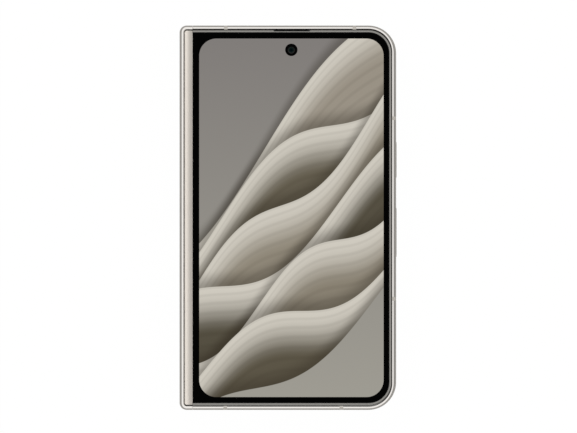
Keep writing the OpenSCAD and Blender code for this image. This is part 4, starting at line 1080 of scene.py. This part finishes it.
# The chip's can behind the lens
can_r, can_face = FLASH_R - 0.8, face + 0.85
turned(bm, FLASH.x, FLASH.y, [(0, can_face), (can_r, can_face), (can_r, back), (0, back)])
carried(new_piece("flash_lens_ribbed", bm, flash_lens), "rear_half", "flash_lens", "camera_flash")
print("camera bar at", [round(v, 2) for v in BAR])

# %% [markdown]
# ## Hinge cover
# The spine's outside is a half round shell of satin metal between the two rails. It follows the small
# corner rounding of the body, so each section along its length is the same profile clipped a little
# further in. A boolean would do the same, but clipping the rings keeps long clean faces.

# %% Cover
SPINE_R = 2.1
SHELL_T = 0.5
PIVOT_X = HINGE_X + SPINE_R
PROUD = 0.012  # the shell's rounded ends lie this far outside the black end caps
COVER_END = 77  # degrees round the corner


def spine_line(r, steps=12):
    """Half round outline in X and Z, from the rear side round to the front side."""
    line = []
    for z, start in ((MID_Z - SPINE_R, 270), (MID_Z + SPINE_R, 180)):
        turns = [math.radians(start - 90 * i / steps) for i in range(steps + 1)]
        line += [(PIVOT_X + r * math.cos(t), z + r * math.sin(t)) for t in turns]
    return line


def clip_at(y):
    """How far in the rounded corner of the body reaches at this height."""
    over = max(abs(y) - (HALF_H - HINGE_CORNER_R), 0)
    return HINGE_X + HINGE_CORNER_R - math.sqrt(max(HINGE_CORNER_R ** 2 - over ** 2, 0))


sides = ((spine_line(SPINE_R - 0.005), -PROUD), (spine_line(SPINE_R - SHELL_T)[::-1], SHELL_T))
turns = [math.radians(COVER_END * i / 16) for i in range(17)]
heights = [HALF_H - HINGE_CORNER_R + HINGE_CORNER_R * math.sin(t) for t in turns]
bm = bmesh.new()
loft(bm, [[(max(x, clip_at(y) + skin), y, z) for line, skin in sides for x, z in line]
          for y in [-h for h in reversed(heights)] + heights])
cover = new_piece("hinge_cover_shell", bm, hinge_metal, angle=40)
carried(cover, "spine", "hinge_steel", "hinge_cover")

# %% [markdown]
# ## Inner bezels
# Opened, the phone shows a raised black frame round the folding display. It is a C on each half,
# softly rounded on its inner edge so that it is kind to a thumb. The outline runs round outside and
# back inside, and the inset narrows it from both sides.

# %% Bezels
DISPLAY_END = 63.0
VIEW_END = 61.8
VIEW_X = HINGE_X + 74.2
INNER = centre_mm("inner_camera")[0].xy


def bezel_shape(low, high):
    """A C-shaped outline, open towards the hinge."""
    outer_r = CORNER_R - SKIN_W - 0.05

    def side(x, h, r, inset, start):
        x, h, r = x - inset, h - inset, r - inset
        upper = [(start, h)] + arc(x - r, h - r, r, 90, 0)
        return upper + [(px, -py) for px, py in reversed(upper)]

    def ring(inset):
        start = low.x + abs(inset)
        inner = side(VIEW_X, VIEW_END, outer_r - (high.x - VIEW_X), -inset, start)
        return side(high.x, high.y, outer_r, inset, start) + inner[::-1]
    return ring


for half, edge, holes in (("rear", "high_r", [disc(*INNER, 1.45, 32)]), ("front", "low_r", [])):
    low, high = box_mm(half + "_bezel")
    bezel = plate(half + "_bezel_ring", bezel_shape(low, high), low.z, high.z, black_plastic, holes=holes,
                  **{edge: 0.14})
    carried(bezel, half + "_half", "bezel_plastic", half + "_bezel")

# %% Inner camera
low, high = box_mm("inner_camera")
small_lens("inner_camera_lens", "rear_half", ["inner_camera"], *INNER,
           [(0, low.z - high.z), (1.9, low.z - high.z), (1.9, -0.5), (1.38, -0.48), (1.38, 0), (1.05, 0),
            (0.98, -0.1), (0.86, -0.12), (0.80, -0.24)], high.z, 0.14, violet_lens)

# %% [markdown]
# ## Folding display
# The inner display is switched off: a deep black film under a soft plastic layer, which mirrors less
# sharply than glass and shows a trace of its pixel grid. On each half it is glued down flat. Between
# the halves it is free and curls into the spine when the phone closes.

# %% Display film
off_display, tree, shader = material("switched off folding display", "#050608", IOR=1.46, Coat_Weight=0.5,
                                     Coat_Roughness=0.08)
where = place_mm(tree)
# The film's gloss is uneven over about 8 mm. The grid is 0.1 mm apart, a little coarser than pixels are
soft = add(tree, "TexNoise", {"Vector": where, "Scale": 0.12, "Detail": 2.0})
grid = [add(tree, "TexWave", {"Vector": where, "Scale": 3.1}, 1, bands_direction=axis) for axis in "XY"]
grid = add(tree, "Math", grid, operation="MULTIPLY")
black = add(tree, "Mix", {0: grid, 6: srgb("#040507"), 7: srgb("#090b10")}, 2, data_type="RGBA")
feed(shader, {"Base Color": black, "Roughness": add(tree, "MapRange", [soft, 0, 1, 0.1, 0.2])})

# %% [markdown]
# ## The folded strip
# Each half of the free strip bends between its half and the spine. Halving an interval finds it.
# The strip is drawn as the loop it makes when closed.

# %% Strip by halving
FOLD_EDGE = 8.5
PIVOT_DEPTH = 1.85
FOLD_T = 0.45
FOLD_RUN = 2.5
FOLD_LEAN = math.atan(1.4)
FOLD_MIDDLE = (SPINE_R + PIVOT_DEPTH, 0.0)
FOLD_START = (FOLD_MIDDLE[0] + FOLD_RUN * math.cos(FOLD_LEAN), -FOLD_RUN * math.sin(FOLD_LEAN))


def share_at(x, z):
    dx, dz = FOLD_MIDDLE[0] - FOLD_START[0], FOLD_MIDDLE[1] - FOLD_START[1]
    t = min(max(((x - FOLD_START[0]) * dx + (z - FOLD_START[1]) * dz) / (dx * dx + dz * dz), 0), 1)
    return t * t * (3 - 2 * t)


def closed_place(u, above):
    """Where a point of the flat strip lies when closed; u runs from the hinge edge, in the half."""
    def turned_back(share):
        a = -math.pi / 2 * share
        x, z = u - SPINE_R, above
        return (SPINE_R + x * math.cos(a) - z * math.sin(a), -SPINE_R + x * math.sin(a) + z * math.cos(a))
    low, high = 0.0, 1.0
    for step in range(40):
        middle = (low + high) / 2
        if share_at(*turned_back(middle)) > middle:
            low = middle
        else:
            high = middle
    return turned_back(low)


# %% The two strips
def bent_strips(name, node, slot_name, finish, y_low, y_high, one_side, other_side, start, end):
    """Two strips along Y between two lines in X and Z, each drawn in its closed shape between its half and
    the spine.
    """
    outline = one_side + other_side[::-1]
    count = max(2, round((y_high - y_low) / 6))
    for half, (_, side) in HALVES.items():
        bm = bmesh.new()
        loft(bm, [[(HINGE_X + x, y_low + (y_high - y_low) * i / count, MID_Z + side * z) for x, z in outline]
                  for i in range(count + 1)])
        strip = new_piece(name + half, bm, finish, angle=50)
        if half == "rear":
            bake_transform(strip)
        else:
            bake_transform(strip)
        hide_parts(node)
        print(strip.name, "bends between", half, "half and spine")


sides = [[closed_place(FOLD_EDGE * (1 - i / 48), depth) for i in range(49)]
         for depth in (PIVOT_DEPTH, PIVOT_DEPTH - FOLD_T)]
bent_strips("inner_display_strip_", "inner_display_fold", "display_panel", off_display, -DISPLAY_END,
            DISPLAY_END, *sides, FOLD_START, FOLD_MIDDLE)
print("loop reaches", round(min(x for x, z in sides[1]), 2), "mm from the hinge edge")

# %% [markdown]
# ## Cable across the hinge
# A thin film cable joins the two boards. It hugs the inside of the hinge cover when closed and hangs
# free when opened; here it is drawn closed, in the same way as the strip. The amber film shows its copper
# lines.

# %% Film cable
CABLE_Y = (22, 34)
CABLE_T = 0.12
CABLE_R = SPINE_R - SHELL_T - 0.04
CABLE_X = (6.6, 4.85)  # where it comes out of the half, and where it starts to bend
flex_film, tree, shader = material("amber film with copper lines", "#a8672a", Roughness=0.3, Coat_Weight=0.4)
# The copper lines are 0.4 mm apart, about twice as coarse as real ones, so that they show
lines = add(tree, "TexWave", {"Vector": place_mm(tree), "Scale": 0.8}, 1, bands_direction="Y")
lines = add(tree, "MapRange", [lines, 0.45, 0.55])
amber = add(tree, "Mix", {0: lines, 6: srgb("#8a4e1c"), 7: srgb("#c98a4c")}, 2, data_type="RGBA")
feed(shader, {"Base Color": amber, "Metallic": lines})


def cable_line(r):
    """From inside a half round the pivot to the middle of the spine."""
    run = [(CABLE_X[0] + (SPINE_R - CABLE_X[0]) * i / 20, -SPINE_R - r) for i in range(21)]
    turns = [math.radians(270 - 90 * i / 12) for i in range(1, 13)]
    turn = [(SPINE_R + r * math.cos(t), -SPINE_R + r * math.sin(t)) for t in turns]
    return run + turn + [(SPINE_R - r, 0)]


bent_strips("hinge_cable_", "hinge_flex_cable", "flex_film", flex_film, *CABLE_Y, cable_line(CABLE_R),
            cable_line(CABLE_R - CABLE_T), (CABLE_X[1], 0), (SPINE_R, 0))

# %% [markdown]
# ## Finishes inside
# Nothing inside shows while the phone is whole, but its parts are real parts, so each gets the
# finish of the thing it is: die-cast alloy, machined steel, bronze, tin, green board, foil, copper.
# Each is a procedural material in millimetres, put in the material slot of the solid as it is.

# %% Metals inside
def brushed(name, color, roughness, stretch=(0.2, 3.0, 3.0)):
    """Ground metal: a noise drawn out along X leaves the marks of the wheel, 0.17 mm wide."""
    made, tree, shader = material(name, color, Metallic=1.0)
    drawn = add(tree, "VectorMath", [place_mm(tree), stretch], operation="MULTIPLY")
    marks = add(tree, "TexNoise", {"Vector": drawn, "Scale": 2.0, "Detail": 3.0})
    feed(shader, {"Roughness": add(tree, "MapRange", [marks, 0, 1, roughness - 0.06, roughness + 0.08]),
                  "Normal": add(tree, "Bump", {"Height": marks, "Distance": 0.003 * MM})})
    return made


# Steel parts shine in streaks, bronze and die-cast alloy are grainy and dull, nickel is nearly a mirror
steel = brushed("ground hinge steel", "#b4b6b9", 0.28)
plate_steel = brushed("rolled support plate", "#8d8f93", 0.38)
motor_steel = brushed("drawn motor can", "#a9abae", 0.3, stretch=(3.0, 0.2, 3.0))
bronze = metal("sintered bronze", "#b08f55", 0.34, spread=0.08, grain_mm=0.15, depth_mm=0.006)
alloy = metal("die-cast magnesium", "#9a9c9f", 0.52, spread=0.08, grain_mm=0.4, depth_mm=0.012)
nickel = metal("nickel plated magnet", "#c8c6c0", 0.2, spread=0.05)

# %% Board, shields, foil and coil
# Lacquered board: green with faint tracks 0.9 mm long, and gold pads that shine as metal does
board, tree, shader = material("green circuit board", "#1f4a35", Roughness=0.35, IOR=1.5)
where = place_mm(tree)
tracks = add(tree, "TexBrick", {"Vector": where, "Color1": srgb("#1c4431"), "Color2": srgb("#225239"),
                                "Mortar": srgb("#3a6b45"), "Scale": 0.55, "Mortar Size": 0.012})
pads = add(tree, "MapRange", [add(tree, "TexVoronoi", {"Vector": where, "Scale": 1.1}), 0.13, 0.10])
green = add(tree, "Mix", {0: pads, 6: tracks, 7: srgb("#d0a85c")}, 2, data_type="RGBA")
feed(shader, {"Base Color": green, "Metallic": pads})

# Stamped tin: thin sheet that is never quite flat, with dents 1.4 mm across
tin, tree, shader = material("stamped tin shield", "#c3c6c9", Metallic=1.0, Roughness=0.3)
dimples = add(tree, "TexVoronoi", {"Vector": place_mm(tree), "Scale": 0.7}, feature="DISTANCE_TO_EDGE")
dimples = add(tree, "MapRange", [dimples, 0, 1, 0, 1])
feed(shader, {"Normal": add(tree, "Bump", {"Height": dimples, "Distance": 0.05 * MM})})

# Laminated foil: black with soft creases 4 mm apart, which catch the light; their light and shade are also
# painted in
foil, tree, shader = material("black battery foil", "#26282c", Roughness=0.4, Coat_Weight=0.2)
creases = add(tree, "TexNoise", {"Vector": place_mm(tree), "Scale": 0.25, "Detail": 5.0, "Roughness": 0.6})
# The colour follows the creases: a painted highlight on their crests and painted shade in their hollows
dark = add(tree, "Mix", {0: creases, 6: srgb("#1f2125"), 7: srgb("#2f3237")}, 2, data_type="RGBA")
feed(shader, {"Base Color": dark, "Normal": add(tree, "Bump", {"Height": creases, "Distance": 0.08 * MM})})

# Lacquered strands, 0.2 mm apart, in rings round the middle of the coil
coil_wire, tree, shader = material("lacquered copper coil", "#b5713a", Metallic=1.0, Roughness=0.3)
from_middle = add(tree, "VectorMath", [place_mm(tree), centre_mm("wireless_coil")[0]], operation="SUBTRACT")
wires = add(tree, "TexWave", {"Vector": from_middle, "Scale": 1.6}, 1, wave_type="RINGS", rings_direction="Z")
copper = add(tree, "Mix", {0: wires, 6: srgb("#8f5126"), 7: srgb("#cf8a50")}, 2, data_type="RGBA")
feed(shader, {"Base Color": copper, "Normal": add(tree, "Bump", {"Height": wires, "Distance": 0.06 * MM})})

# %% Every solid gets a finish
# A star stands for the rear one and the front one
FINISHES = {
    polished_metal: "*_frame camera_bar", satin_metal: "*_hinge_rail", hinge_metal: "hinge_cover",
    key_metal: "volume_rocker sim_tray", reader_metal: "power_button", alloy: "*_mid_plate",
    etched: "rear_glass", flash_lens: "camera_flash",
    border_glass: "cover_glass camera_window cover_camera inner_camera",
    barrel_black: "main_camera ultrawide_camera telephoto_camera", board: "mainboard sub_board",
    tin: "board_shields sim_reader", foil: "*_battery", coil_wire: "wireless_coil", shell_steel: "usb_c_port",
    module_plastic: "bottom_speaker top_speaker earpiece_speaker", motor_steel: "haptic_motor",
    flex_film: "key_flex hinge_flex_cable", plate_steel: "*_support_plate",
    steel: "rocker_pin *_hinge_arms hinge_bases hinge_pins *_screws", nickel: "*_magnets",
    off_display: "inner_display_* inner_display_fold cover_display_panel", break_plastic: "*_antenna_breaks",
    black_plastic: "*_bezel hinge_end_caps", bronze: "*_idler_gears", wire_steel: "earpiece_mesh",
}
missing = set(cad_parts)
for finish, words in FINISHES.items():
    for node in {word.replace("*", half) for word in words.split() for half in HALVES}:
        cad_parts[node].data.materials.clear()
        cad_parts[node].data.materials.append(finish)
        missing.remove(node)
print("solids without a finish:", sorted(missing))
